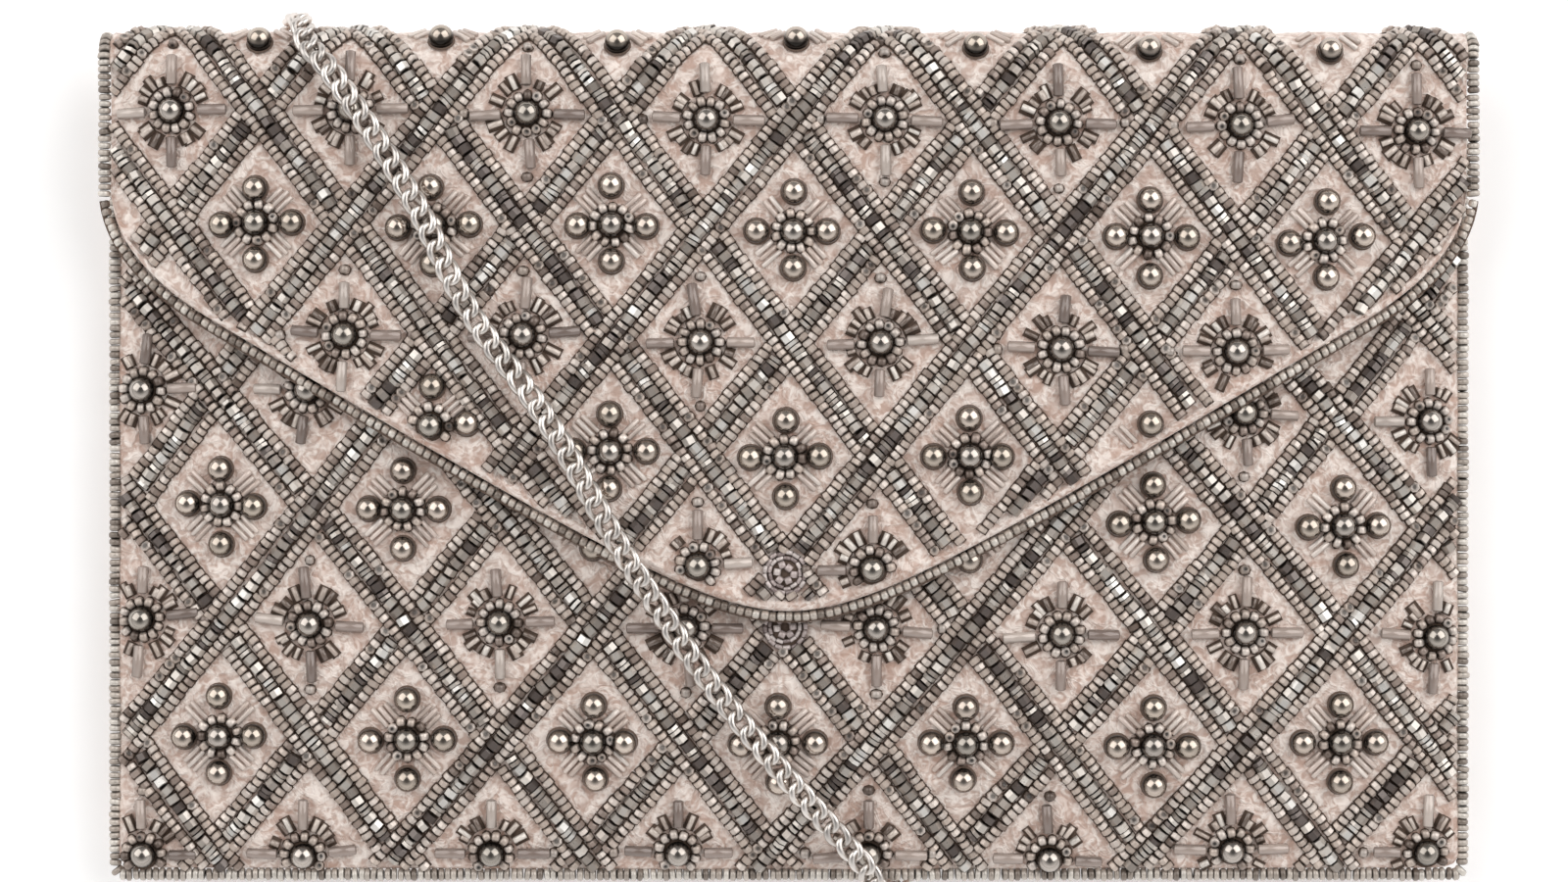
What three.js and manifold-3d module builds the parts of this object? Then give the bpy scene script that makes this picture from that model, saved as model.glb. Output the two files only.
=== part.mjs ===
import * as THREE from "three";
import { mergeVertices } from "three/addons/utils/BufferGeometryUtils.js";
import Module from "manifold-3d";

const wasm = await Module();
wasm.setup();

// Beaded envelope clutch lying on its back: X across, Y towards the top fold, Z up through the front.
// All sizes are in millimetres; the origin is the middle of the flat patch that the back rests on.
const HALF_WIDTH = 122.7; // pouch, middle to side seam
const BOTTOM_Y = -76.4; // bottom seam
const CORNER_RADIUS = 2.5; // rounding of the bottom corners
const HEM_Y = 59; // top hem of the front panel, the mouth of the pouch
const BACK_TOP_Y = 62; // seam that joins the back panel to the flap
const TOP_Y = 76.6; // outermost line of the top fold
const WALL = 2; // satin, padding and lining together
const GAP = 0.3; // between pieces that are sewn or laid together
const BACK_RISE = 6.2; // rim of the back above the patch that it rests on
const BACK_FLAT = 0.05; // share of that rise that stays flat in the middle
const CROWN = 6.5; // front panel, middle above rim
const CROWN_POWER = 3.5; // how late the panels bend down to their seams
const MOUTH_DROP = 0.25; // share of the crown lost towards the mouth
const MOUTH_REACH = 64; // height above the middle at which all of that is lost
const FLAP_LIFT = 4; // inner face of the flap above the front panel
const FLAP_HALF_WIDTH = 123.8;
const FLAP_TIP_Y = -28.3; // lowest point of the flap
const FLAP_SLOPE = 0.6; // rise of its straight edges
const FLAP_ROUNDING = 11.2; // how blunt the tip is
const FLAP_CORNER = { startX: 105, endY: 48, sideY: 57 }; // where its edge turns up into the sides
const PEARL = { radius: 2.1, shoulder: 2, height: 3.6, sunk: 0.9, sides: 10 };
const PEARL_UPRIGHT = 0.9; // pearls lean with the cloth where it is steeper than this
// How near to each edge pearls are sewn; motifs at the sides, or just beyond, are drawn in to keep to it.
const PEARL_MARGIN = { side: 3.9, beyond: 1, flapEdge: 2.4, fold: 0.5, seam: 1.8, underFlap: 2 };
const EDGING_DIAMETER = 2.2;
const EDGING_END = 0.2; // the strings stop this far short of the corners of the pouch
const FLAP_EDGING_DIAMETER = 2;
const FLAP_EDGING_CLEAR = 0.55; // between the flap's edge and the string of beads round it
const CHAIN_DIAMETER = 3;
const BEAD_HEIGHT = 2.2; // bead embroidery that the chain lies on
const TUBE_SIDES = 8;
const TAB = { x: 101, y: 55, width: 8, length: 9, thickness: 3 };
const SNAP = { x: -1, y: -20, radius: 6, sides: 16, topGap: 0.4 };
const COLOURS = { satin: 0xecd6cb, tab: 0xe4cdc2, beads: 0x9a9087, chain: 0xc9c9c6, snap: 0xb4b4b2 };

// Facets that the cloth is divided into, closer together where it bends more.
const PANEL_GRID = { columns: 12, rows: 8, cornerRows: [0, 0.3, 1], crowding: 1.15 };
const FLAP_GRID = {
  halfColumns: 9,
  crowding: 1.3,
  cornerColumns: [0.33, 0.67, 1],
  rows: [0, 0.2, 0.4, 0.6, 0.8],
  foldDegrees: [0, 36, 72, 108, 144, 180],
};
const EDGING_STEPS = 40;
const CHAIN_STEPS = 72;

// Diamond lattice of each panel: rows of stars and of crosses in turn, slightly turned on the cloth.
// On the front the rows far from the middle one also drift sideways and twist a little.
// On the flap one cross is sewn further in, clear of the left edge.
const PATTERNS = {
  flap: {
    middleX: 0.25,
    middleY: 19.9,
    pitchX: 32.45,
    pitchY: 40.6,
    turn: -1,
    drift: 0,
    twist: 0,
    moved: { row: -1, column: -2, x: -0.4, y: 4.4 },
  },
  front: {
    middleX: -1.4,
    middleY: -32.4,
    pitchX: 34.2,
    pitchY: 41.4,
    turn: -0.7,
    drift: -0.4,
    twist: -6e-3,
    moved: {},
  },
};
const PATTERN_REACH = { rows: 4, columns: 5 }; // motifs on each side of the middle one
const MOTIF_PEARLS = {
  star: [{ x: 0, y: 0 }],
  cross: [
    { x: 0, y: 0 },
    { x: 6.4, y: 0 },
    { x: -6.4, y: 0 },
    { x: 0, y: 6.9 },
    { x: 0, y: -6.9 },
  ],
};

// The chain crosses the front on a slant, from over the top fold to under the bottom edge.
const CHAIN_FRONT = [
  { x: -85, y: 71.5 },
  { x: -81.5, y: 67 },
  { x: -68.2, y: 46.3 },
  { x: -57.6, y: 25.4 },
  { x: -43.4, y: 5.5 },
  { x: -29.2, y: -19.3 },
  { x: -15.2, y: -40.7 },
  { x: -0.9, y: -58.6 },
  { x: 14.2, y: -76 },
];
const CHAIN_PLACES = 70; // where its height over the front is taken
const CHAIN_EASE = 2; // places on each side over which it eases up to a pearl
const CHAIN_SIDE_ROOM = 0.6; // between the chain and a pearl that it passes
const CHAIN_STEP = 3; // how far beyond the flap's edge it stays up
const CHAIN_FOLD = { frontX: -86, backX: -95, from: 170, to: 30, step: 20, backClear: 0.5 };
const CHAIN_LEAD = 3; // straight piece at each tab
const CHAIN_BOTTOM = [
  { x: 16, y: -79.6, z: 14 },
  { x: 17.4, y: -81.8, z: 10.2 },
  { x: 18.6, y: -82, z: 6.2 },
  { x: 20.2, y: -80, z: 3 },
  { x: 22.8, y: -76, z: 1.8 },
];
const CHAIN_BACK = [
  { x: 40, y: -68.5, z: 1.6 },
  { x: 75, y: -63, z: 1.6 },
  { x: 99, y: -45, z: 1.6 },
  { x: 107, y: -20, z: 1.6 },
  { x: 107, y: 18, z: 1.6 },
  { x: 103.5, y: 40, z: 2 },
];

const smooth = (value) => THREE.MathUtils.smoothstep(value, 0, 1);
const bend = (value) => 1 - Math.min(1, Math.abs(value)) ** CROWN_POWER;

// Heights of the outer faces above the ground at a place on the bag.
function frontHeight(x, y) {
  const along = y < 0 ? bend(y / BOTTOM_Y) : 1 - MOUTH_DROP * smooth(y / MOUTH_REACH);
  return BACK_RISE + 2 * WALL + GAP + CROWN * bend(x / HALF_WIDTH) * along;
}

function backHeight(x, y) {
  const along = bend(Math.min(y, BACK_TOP_Y) / BOTTOM_Y);
  const share = 1 - bend(x / HALF_WIDTH) * along;
  return (BACK_RISE * Math.max(0, share - BACK_FLAT)) / (1 - BACK_FLAT);
}

const flapHeight = (x, y) => frontHeight(x, y) + FLAP_LIFT + WALL;

// Half width of the pouch, drawn in at the rounded bottom corners.
function halfWidthAt(y) {
  const into = Math.max(0, BOTTOM_Y + CORNER_RADIUS - y);
  return HALF_WIDTH - CORNER_RADIUS + Math.sqrt(CORNER_RADIUS ** 2 - into ** 2);
}

// Free edge of the flap: a blunt tip, straight slanting edges and a turn up into the sides.
function slantEdge(x) {
  return FLAP_TIP_Y - FLAP_ROUNDING + Math.hypot(FLAP_SLOPE * x, FLAP_ROUNDING);
}

function cornerX(turn) {
  return FLAP_CORNER.startX + (FLAP_HALF_WIDTH - FLAP_CORNER.startX) * turn * (2 - turn);
}

function flapEdge(x) {
  const { startX, endY } = FLAP_CORNER;
  const distance = Math.abs(x);
  if (distance <= startX) return slantEdge(x);
  const reach = FLAP_HALF_WIDTH - startX;
  const turn = 1 - Math.sqrt(Math.max(0, 1 - (distance - startX) / reach));
  const startY = slantEdge(startX);
  const bendY = startY + FLAP_SLOPE * reach;
  return startY * (1 - turn) ** 2 + 2 * bendY * turn * (1 - turn) + endY * turn ** 2;
}

// The top fold: a half circle in section from the back to the flap.
function foldAt(x) {
  const top = flapHeight(x, TOP_Y);
  const bottom = backHeight(x, TOP_Y);
  const radius = (top - bottom) / 2;
  return { radius, y: TOP_Y - radius, z: (top + bottom) / 2 };
}

// Point on the outer face of the flap, sunk inwards by a depth. The cloth is measured along v:
// it is y in front of the fold and goes on as arc length over the fold and along the back.
function flapPoint(x, v, depth = 0) {
  const fold = foldAt(x);
  if (v <= fold.y) return new THREE.Vector3(x, v, flapHeight(x, v) - depth);
  const angle = Math.min(Math.PI, (v - fold.y) / fold.radius);
  const past = Math.max(0, v - fold.y - Math.PI * fold.radius);
  const radius = fold.radius - depth;
  return new THREE.Vector3(x, fold.y + radius * Math.sin(angle) - past, fold.z + radius * Math.cos(angle));
}

const frontPoint = (x, y, depth = 0) => new THREE.Vector3(x, y, frontHeight(x, y) - depth);

function normalAt(point, x, v) {
  const step = 0.2;
  const across = point(x + step, v).sub(point(x - step, v));
  const along = point(x, v + step).sub(point(x, v - step));
  return across.cross(along).normalize();
}

// A wall between two grids of points, upper and lower, closed round its rim.
function wall(upper, lower) {
  const rows = upper.length;
  const columns = upper[0].length;
  const index = [];
  const top = (row, column) => row * columns + column;
  const under = (row, column) => rows * columns + top(row, column);
  const quad = (a, b, c, d) => index.push(a, b, c, a, c, d);
  for (let row = 0; row < rows - 1; row += 1) {
    for (let column = 0; column < columns - 1; column += 1) {
      quad(top(row, column), top(row, column + 1), top(row + 1, column + 1), top(row + 1, column));
      quad(under(row, column), under(row + 1, column), under(row + 1, column + 1), under(row, column + 1));
    }
    const last = columns - 1;
    quad(top(row, 0), top(row + 1, 0), under(row + 1, 0), under(row, 0));
    quad(under(row, last), under(row + 1, last), top(row + 1, last), top(row, last));
  }
  for (let column = 0; column < columns - 1; column += 1) {
    const last = rows - 1;
    quad(under(0, column), under(0, column + 1), top(0, column + 1), top(0, column));
    quad(top(last, column), top(last, column + 1), under(last, column + 1), under(last, column));
  }
  const points = [...upper.flat(), ...lower.flat()].flatMap((point) => [point.x, point.y, point.z]);
  const geometry = new THREE.BufferGeometry();
  geometry.setAttribute("position", new THREE.Float32BufferAttribute(points, 3));
  geometry.setIndex(index);
  return geometry;
}

// Grid lines from -1 to 1, closer together towards both ends.
function spread(count) {
  return Array.from({ length: count + 1 }, (_, i) => Math.sin((Math.PI / 2) * ((2 * i) / count - 1)));
}

// Rows of a panel from its bottom seam up to a top line.
function panelRows(topY) {
  const { rows, cornerRows, crowding } = PANEL_GRID;
  const start = BOTTOM_Y + CORNER_RADIUS;
  const corner = cornerRows.map((share) => BOTTOM_Y + CORNER_RADIUS * share);
  const rest = Array.from({ length: rows }, (_, i) => start + (topY - start) * ((i + 1) / rows) ** crowding);
  return [...corner, ...rest];
}

function panelGrid(rows, columns, height) {
  return rows.map((y) =>
    columns.map((share) => {
      const x = share * halfWidthAt(y);
      return new THREE.Vector3(x, y, height(x, y));
    }),
  );
}

function toManifold(geometry) {
  const bare = geometry.clone();
  bare.deleteAttribute("normal");
  bare.deleteAttribute("uv");
  const { attributes, index } = mergeVertices(bare);
  const triangles = [];
  for (let start = 0; start < index.count; start += 3) {
    const corners = [0, 1, 2].map((corner) => index.getX(start + corner));
    if (new Set(corners).size === 3) triangles.push(...corners);
  }
  const vertProperties = Float32Array.from(attributes.position.array);
  const triVerts = Uint32Array.from(triangles);
  return new wasm.Manifold(new wasm.Mesh({ numProp: 3, vertProperties, triVerts }));
}

function toGeometry(manifold) {
  const { vertProperties, triVerts } = manifold.getMesh();
  const geometry = new THREE.BufferGeometry();
  geometry.setAttribute("position", new THREE.BufferAttribute(vertProperties, 3));
  geometry.setIndex(new THREE.BufferAttribute(triVerts, 1));
  return geometry;
}

// Places of all pearls of a pattern on the flat cloth.
function patternPearls(pattern, halfWidth) {
  const { middleX, middleY, pitchX, pitchY, turn, drift, twist, moved } = pattern;
  const { rows, columns } = PATTERN_REACH;
  const side = halfWidth - PEARL_MARGIN.side;
  const pearls = [];
  for (let row = -rows; row <= rows; row += 1) {
    const kind = row % 2 === 0 ? "star" : "cross";
    for (let column = -columns; column <= columns; column += 1) {
      const shift = kind === "star" ? 0.5 : 0;
      const middle = new THREE.Vector2((column + shift) * pitchX, (row * pitchY) / 2);
      middle.rotateAround(new THREE.Vector2(), THREE.MathUtils.degToRad(turn));
      const isMoved = row === moved.row && column === moved.column;
      const x = middle.x + middleX + drift * row ** 2 + (isMoved ? moved.x : 0);
      const y = middle.y + middleY + twist * row * middle.x + (isMoved ? moved.y : 0);
      if (Math.abs(x) > halfWidth + PEARL_MARGIN.beyond) continue;
      const drawnIn = THREE.MathUtils.clamp(x, -side, side);
      for (const pearl of MOTIF_PEARLS[kind]) pearls.push({ x: drawnIn + pearl.x, y: y + pearl.y });
    }
  }
  return pearls;
}

// Pearls of the flap keep inside its edge and stop where the fold turns to the back.
const flapPearls = patternPearls(PATTERNS.flap, FLAP_HALF_WIDTH).filter(
  ({ x, y }) => y > flapEdge(x) + PEARL_MARGIN.flapEdge && y < TOP_Y - PEARL_MARGIN.fold,
);

// Pearls of the front show below the flap, a few of them half under its edge.
const frontPearls = patternPearls(PATTERNS.front, HALF_WIDTH).filter(
  ({ x, y }) => y > BOTTOM_Y + PEARL_MARGIN.seam && y < flapEdge(x) + PEARL_MARGIN.underFlap,
);

function sewPearls(panel, pearls, point) {
  const { radius, shoulder, height, sunk, sides } = PEARL;
  const profile = [[0, -sunk], [radius, -sunk], [radius, shoulder], [0, height]];
  const ball = new THREE.LatheGeometry(profile.map(([out, up]) => new THREE.Vector2(out, up)), sides);
  ball.rotateX(Math.PI / 2);
  const up = new THREE.Vector3(0, 0, 1);
  let sewn = toManifold(panel);
  for (const { x, y } of pearls) {
    const pearl = ball.clone();
    const normal = normalAt(point, x, y);
    const lean = new THREE.Quaternion().setFromUnitVectors(up, normal);
    if (normal.z < PEARL_UPRIGHT) pearl.applyQuaternion(lean);
    const place = point(x, y);
    pearl.translate(place.x, place.y, place.z);
    sewn = sewn.add(toManifold(pearl));
  }
  return toGeometry(sewn);
}

// Round bar along a path, for strings of beads and for the chain.
function tube(points, diameter, steps) {
  const section = new THREE.Shape();
  for (let side = 0; side < TUBE_SIDES; side += 1) {
    const angle = ((side + 0.5) / TUBE_SIDES) * 2 * Math.PI;
    const corner = new THREE.Vector2(Math.cos(angle), Math.sin(angle)).multiplyScalar(diameter / 2);
    if (side === 0) section.moveTo(corner.x, corner.y);
    else section.lineTo(corner.x, corner.y);
  }
  const extrudePath = new THREE.CatmullRomCurve3(points, false, "centripetal");
  return new THREE.ExtrudeGeometry(section, { steps, extrudePath, bevelEnabled: false });
}

// The chain over the front lies on the beads, rides over pearls and steps down from the flap.
function chainOverFront() {
  const plan = new THREE.CatmullRomCurve3(CHAIN_FRONT.map(({ x, y }) => new THREE.Vector3(x, y, 0)));
  const places = plan.getSpacedPoints(CHAIN_PLACES);
  const reach = PEARL.radius + CHAIN_DIAMETER / 2 + CHAIN_SIDE_ROOM;
  const pearlTop = PEARL.height + GAP;
  const lie = CHAIN_DIAMETER / 2 + BEAD_HEIGHT;
  const onFlap = (place) => place.y > flapEdge(place.x) - CHAIN_STEP;
  const heights = places.map((place) => {
    const near = (pearl) => Math.hypot(pearl.x - place.x, pearl.y - place.y) < reach;
    const crosses = (onFlap(place) ? flapPearls : frontPearls).some(near);
    const base = onFlap(place) ? flapHeight(place.x, place.y) : frontHeight(place.x, place.y);
    return base + (crosses ? pearlTop + CHAIN_DIAMETER / 2 : lie);
  });
  const around = (list, i) => list.slice(Math.max(0, i - CHAIN_EASE), i + CHAIN_EASE + 1);
  const raised = heights.map((_, i) => Math.max(...around(heights, i)));
  const mean = (list) => list.reduce((sum, z) => sum + z, 0) / list.length;
  const eased = raised.map((_, i) => mean(around(raised, i)));
  return places.map((place, i) => new THREE.Vector3(place.x, place.y, Math.max(eased[i], heights[i])));
}

// Over the fold the chain keeps clear of the beads in front and lies close to the plain back.
function chainOverFold() {
  const { frontX, backX, from, to, step, backClear } = CHAIN_FOLD;
  const points = [];
  for (let degrees = from; degrees >= to; degrees -= step) {
    const share = degrees / 180;
    const x = THREE.MathUtils.lerp(frontX, backX, share);
    const fold = foldAt(x);
    const radius = fold.radius + CHAIN_DIAMETER / 2 + THREE.MathUtils.lerp(BEAD_HEIGHT, backClear, share);
    const angle = THREE.MathUtils.degToRad(degrees);
    points.push(new THREE.Vector3(x, fold.y + radius * Math.sin(angle), fold.z + radius * Math.cos(angle)));
  }
  return points;
}

// Hidden tab sewn to the back: its upper face follows the cloth.
function tab(side) {
  const shares = [-0.5, 0, 0.5];
  const grid = (drop) =>
    shares.map((v) =>
      shares.map((u) => {
        const x = side * TAB.x + u * TAB.width;
        const y = TAB.y + v * TAB.length;
        return new THREE.Vector3(x, y, backHeight(x, y) - drop);
      }),
    );
  return wall(grid(GAP), grid(GAP + TAB.thickness));
}

function tabEnd(side) {
  const x = side * TAB.x;
  const y = TAB.y - (side * TAB.length) / 2;
  const z = backHeight(x, y) - GAP - TAB.thickness / 2;
  return { x, y, z };
}

function material(color, roughness, metalness) {
  return new THREE.MeshStandardMaterial({ color, roughness, metalness });
}

const satinFinish = () => material(COLOURS.satin, 0.45, 0);
const tabFinish = () => material(COLOURS.tab, 0.5, 0);
const beadFinish = () => material(COLOURS.beads, 0.25, 0.3);
const bag = new THREE.Group();

function addPiece(name, geometry, finish) {
  const mesh = new THREE.Mesh(geometry, finish);
  mesh.name = name;
  bag.add(mesh);
}

// Pouch: a plain back and a beaded front, sewn at the sides and bottom, open at the top.
const panelColumns = spread(PANEL_GRID.columns);
const backRows = panelRows(BACK_TOP_Y);
const backInner = panelGrid(backRows, panelColumns, (x, y) => backHeight(x, y) + WALL);
const backOuter = panelGrid(backRows, panelColumns, backHeight);
addPiece("back_panel", wall(backInner, backOuter), satinFinish());

const frontRows = panelRows(HEM_Y);
const frontOuter = panelGrid(frontRows, panelColumns, frontHeight);
const frontInner = panelGrid(frontRows, panelColumns, (x, y) => frontHeight(x, y) - WALL);
const frontSewn = sewPearls(wall(frontOuter, frontInner), frontPearls, frontPoint);
addPiece("front_panel", frontSewn, satinFinish());

// Flap: from its free edge up the front, over the fold and down to the seam on the back.
const middleColumns = Array.from({ length: 2 * FLAP_GRID.halfColumns + 1 }, (_, i) => {
  const share = i / FLAP_GRID.halfColumns - 1;
  return FLAP_CORNER.startX * Math.sign(share) * Math.abs(share) ** FLAP_GRID.crowding;
});
const cornerColumns = FLAP_GRID.cornerColumns.map(cornerX);
const flapColumns = [...cornerColumns.map((x) => -x).reverse(), ...middleColumns, ...cornerColumns];
const flapRows = [
  ...FLAP_GRID.rows.map((front) => ({ front })),
  ...FLAP_GRID.foldDegrees.map((degrees) => ({ degrees })),
  { seam: true },
];

function flapCloth(x, row) {
  const fold = foldAt(x);
  if ("front" in row) return THREE.MathUtils.lerp(flapEdge(x), fold.y, row.front);
  const past = row.seam ? fold.y - BACK_TOP_Y - GAP : 0;
  return fold.y + fold.radius * THREE.MathUtils.degToRad(row.degrees ?? 180) + past;
}

function flapGrid(depth) {
  return flapRows.map((row) => flapColumns.map((x) => flapPoint(x, flapCloth(x, row), depth)));
}

const flapSewn = sewPearls(wall(flapGrid(0), flapGrid(WALL)), flapPearls, flapPoint);
addPiece("flap", flapSewn, satinFinish());

// Strings of beads: straight ones on the three seams, a bent one round the free edge of the flap.
const edgingOut = GAP + EDGING_DIAMETER / 2;
const edgingZ = BACK_RISE + WALL + GAP / 2;
for (const [name, side] of [["seam_edging_left", -1], ["seam_edging_right", 1]]) {
  const x = side * (HALF_WIDTH + edgingOut);
  const ends = [BOTTOM_Y + EDGING_END, HEM_Y].map((y) => new THREE.Vector3(x, y, edgingZ));
  addPiece(name, tube(ends, EDGING_DIAMETER, 1), beadFinish());
}
const bottomEnds = [-1, 1].map(
  (side) => new THREE.Vector3(side * (HALF_WIDTH - EDGING_END), BOTTOM_Y - edgingOut, edgingZ),
);
addPiece("seam_edging_bottom", tube(bottomEnds, EDGING_DIAMETER, 1), beadFinish());

const rimOut = FLAP_EDGING_CLEAR + FLAP_EDGING_DIAMETER / 2;
const rimPoint = (x, y, outX, outY) => {
  const out = new THREE.Vector2(outX, outY).setLength(rimOut);
  return new THREE.Vector3(x + out.x, y + out.y, flapHeight(x, y) - WALL / 2);
};
const slantRim = flapColumns.slice(1, -1).map((x) => {
  const step = 0.05;
  const rise = flapEdge(x + step) - flapEdge(x - step);
  return rimPoint(x, flapEdge(x), rise, -2 * step);
});
const sideRim = (side) => {
  const heights = [FLAP_CORNER.endY, FLAP_CORNER.sideY, foldAt(FLAP_HALF_WIDTH).y];
  return heights.map((y) => rimPoint(side * FLAP_HALF_WIDTH, y, side, 0));
};
const rim = [...sideRim(-1).reverse(), ...slantRim, ...sideRim(1)];
addPiece("flap_edging", tube(rim, FLAP_EDGING_DIAMETER, EDGING_STEPS), beadFinish());

// Chain: from the left tab over the fold, across the front, under the bottom edge and up to the right tab.
const leftEnd = tabEnd(-1);
const rightEnd = tabEnd(1);
const toVector = ({ x, y, z }) => new THREE.Vector3(x, y, z);
const chainPath = [
  new THREE.Vector3(leftEnd.x, leftEnd.y + GAP, leftEnd.z),
  new THREE.Vector3(leftEnd.x, leftEnd.y + CHAIN_LEAD, leftEnd.z),
  ...chainOverFold(),
  ...chainOverFront(),
  ...CHAIN_BOTTOM.map(toVector),
  ...CHAIN_BACK.map(toVector),
  new THREE.Vector3(rightEnd.x, rightEnd.y - CHAIN_LEAD, rightEnd.z),
  new THREE.Vector3(rightEnd.x, rightEnd.y - GAP, rightEnd.z),
];
addPiece("chain_strap", tube(chainPath, CHAIN_DIAMETER, CHAIN_STEPS), material(COLOURS.chain, 0.2, 1));

addPiece("strap_tab_left", tab(-1), tabFinish());
addPiece("strap_tab_right", tab(1), tabFinish());

// Hidden magnet between the flap and the front panel.
const snapTop = flapHeight(SNAP.x, SNAP.y) - WALL - SNAP.topGap;
const snapBottom = frontHeight(SNAP.x, SNAP.y) + GAP;
const snap = new THREE.CylinderGeometry(SNAP.radius, SNAP.radius, snapTop - snapBottom, SNAP.sides);
snap.rotateX(Math.PI / 2);
snap.translate(SNAP.x, SNAP.y, (snapTop + snapBottom) / 2);
addPiece("magnet_snap", snap, material(COLOURS.snap, 0.3, 1));

export default bag;
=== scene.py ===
import math
import bpy
import numpy as np
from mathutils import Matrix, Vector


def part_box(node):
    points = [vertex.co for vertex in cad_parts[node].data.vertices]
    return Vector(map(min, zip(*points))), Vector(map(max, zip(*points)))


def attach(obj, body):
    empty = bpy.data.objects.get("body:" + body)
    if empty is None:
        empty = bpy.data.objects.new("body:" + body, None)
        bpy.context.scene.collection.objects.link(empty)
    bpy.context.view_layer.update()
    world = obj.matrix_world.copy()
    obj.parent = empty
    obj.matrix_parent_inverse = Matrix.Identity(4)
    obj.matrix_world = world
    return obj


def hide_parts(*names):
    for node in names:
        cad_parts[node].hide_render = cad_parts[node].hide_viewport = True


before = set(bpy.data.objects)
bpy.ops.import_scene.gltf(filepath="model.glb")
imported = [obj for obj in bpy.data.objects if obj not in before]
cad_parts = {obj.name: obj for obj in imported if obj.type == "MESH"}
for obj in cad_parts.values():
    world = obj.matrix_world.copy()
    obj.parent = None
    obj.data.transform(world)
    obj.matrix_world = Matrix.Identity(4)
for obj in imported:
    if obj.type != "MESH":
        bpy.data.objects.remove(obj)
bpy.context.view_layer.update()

# Camera: straight above the bag, which lies on its back with the flap closed.
# A long lens from about 0.8 m keeps the edges square and shows no side walls.
MM = 0.001
CAMERA_HEIGHT = 800
VIEW_MIDDLE = (-0.9, 2.0)
VIEW_WIDTH = 289.3  # what the picture takes in at the height of the seams
SEAM_HEIGHT = 9
SENSOR = 36
camera_data = bpy.data.cameras.new("photo_camera")
camera_data.sensor_width = SENSOR
camera_data.lens = SENSOR * (CAMERA_HEIGHT - SEAM_HEIGHT) / VIEW_WIDTH
camera = bpy.data.objects.new("photo_camera", camera_data)
camera.location = (VIEW_MIDDLE[0] * MM, VIEW_MIDDLE[1] * MM, CAMERA_HEIGHT * MM)
bpy.context.collection.objects.link(camera)
bpy.context.scene.camera = camera


# Studio: a plain pale floor, a faintly lit paper table in a tent of soft light with a softbox on each side.
# The tent is dark overhead, where the camera looks in, and brightest well down its walls.
class Socket:
    """An output of a node, with arithmetic that adds Math nodes."""

    def __init__(self, finish, socket):
        self.finish = finish
        self.socket = socket

    def math(self, operation, first, second):
        return self.finish.node("ShaderNodeMath", {"operation": operation}, {0: first, 1: second})

    def __add__(self, other):
        return self.math("ADD", self, other)

    def __radd__(self, other):
        return self.math("ADD", other, self)

    def __sub__(self, other):
        return self.math("SUBTRACT", self, other)

    def __rsub__(self, other):
        return self.math("SUBTRACT", other, self)

    def __mul__(self, other):
        return self.math("MULTIPLY", self, other)

    def __rmul__(self, other):
        return self.math("MULTIPLY", other, self)

    def wave(self):
        """Size of the sine of a value, which is 0 at every whole turn and half turn."""
        return self.math("ABSOLUTE", self.math("SINE", self, 0), 0)


class Finish:
    """The nodes of a material or of the studio's light, with one way to add to them."""

    def __init__(self, owner):
        owner.use_nodes = True
        self.owner = owner
        self.tree = owner.node_tree
        self.surface = next(n for n in self.tree.nodes if n.type in ("BSDF_PRINCIPLED", "BACKGROUND"))

    def node(self, kind, settings, sockets, output=0):
        made = self.tree.nodes.new(kind)
        for key, value in settings.items():
            if key == "stops":
                while len(made.color_ramp.elements) < len(value):
                    made.color_ramp.elements.new(1)
                for stop, (place, grey) in zip(made.color_ramp.elements, value):
                    stop.position = place
                    stop.color = (grey, grey, grey, 1)
            else:
                setattr(made, key, value)
        self.feed(made, sockets)
        return Socket(self, made.outputs[output])

    def feed(self, made, sockets):
        for key, value in sockets.items():
            if isinstance(value, Socket):
                self.tree.links.new(value.socket, made.inputs[key])
            else:
                made.inputs[key].default_value = value

    def mix(self, share, first, second):
        return self.node("ShaderNodeMix", {"data_type": "RGBA"}, {0: share, 6: first, 7: second}, 2)


def colour(red, green, blue):
    """A colour as a screen shows it, 0 to 255, for a shader."""
    levels = np.array([red, green, blue]) / 255
    return (*np.where(levels < 0.04, levels / 12.92, ((levels + 0.055) / 1.055) ** 2.4), 1)


def build(name, points, corners, starts, finish, smooth=True):
    """A mesh from arrays: points in millimetres, the corners of all faces and where each face starts."""
    mesh = bpy.data.meshes.new(name)
    mesh.vertices.add(len(points))
    mesh.vertices.foreach_set("co", (np.asarray(points) * MM).astype(np.float32).ravel())
    mesh.loops.add(len(corners))
    mesh.loops.foreach_set("vertex_index", np.asarray(corners, np.int32))
    mesh.polygons.add(len(starts))
    mesh.polygons.foreach_set("loop_start", np.asarray(starts, np.int32))
    mesh.polygons.foreach_set("use_smooth", np.full(len(starts), smooth))
    mesh.update(calc_edges=True)
    mesh.validate()
    mesh.materials.append(finish.owner)
    piece = bpy.data.objects.new(name, mesh)
    bpy.context.collection.objects.link(piece)
    return piece


FLOOR_REACH = 3000
PAPER_GLOW = 0.2
paper = Finish(bpy.data.materials.new("floor_paper"))
paper_grain = paper.node("ShaderNodeTexNoise", {}, {"Scale": 900.0, "Detail": 3.0})
paper.feed(paper.surface, {
    "Base Color": paper.mix(paper_grain, colour(246, 245, 244), colour(250, 250, 250)),
    "Roughness": 0.8 + 0.15 * paper_grain,
    "Emission Color": colour(255, 255, 255),
    "Emission Strength": PAPER_GLOW,
})
floor_corners = FLOOR_REACH * np.array([[-1, -1, 0], [1, -1, 0], [1, 1, 0], [-1, 1, 0]])
floor = build("floor", floor_corners, [0, 1, 2, 3], [0], paper)

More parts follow.
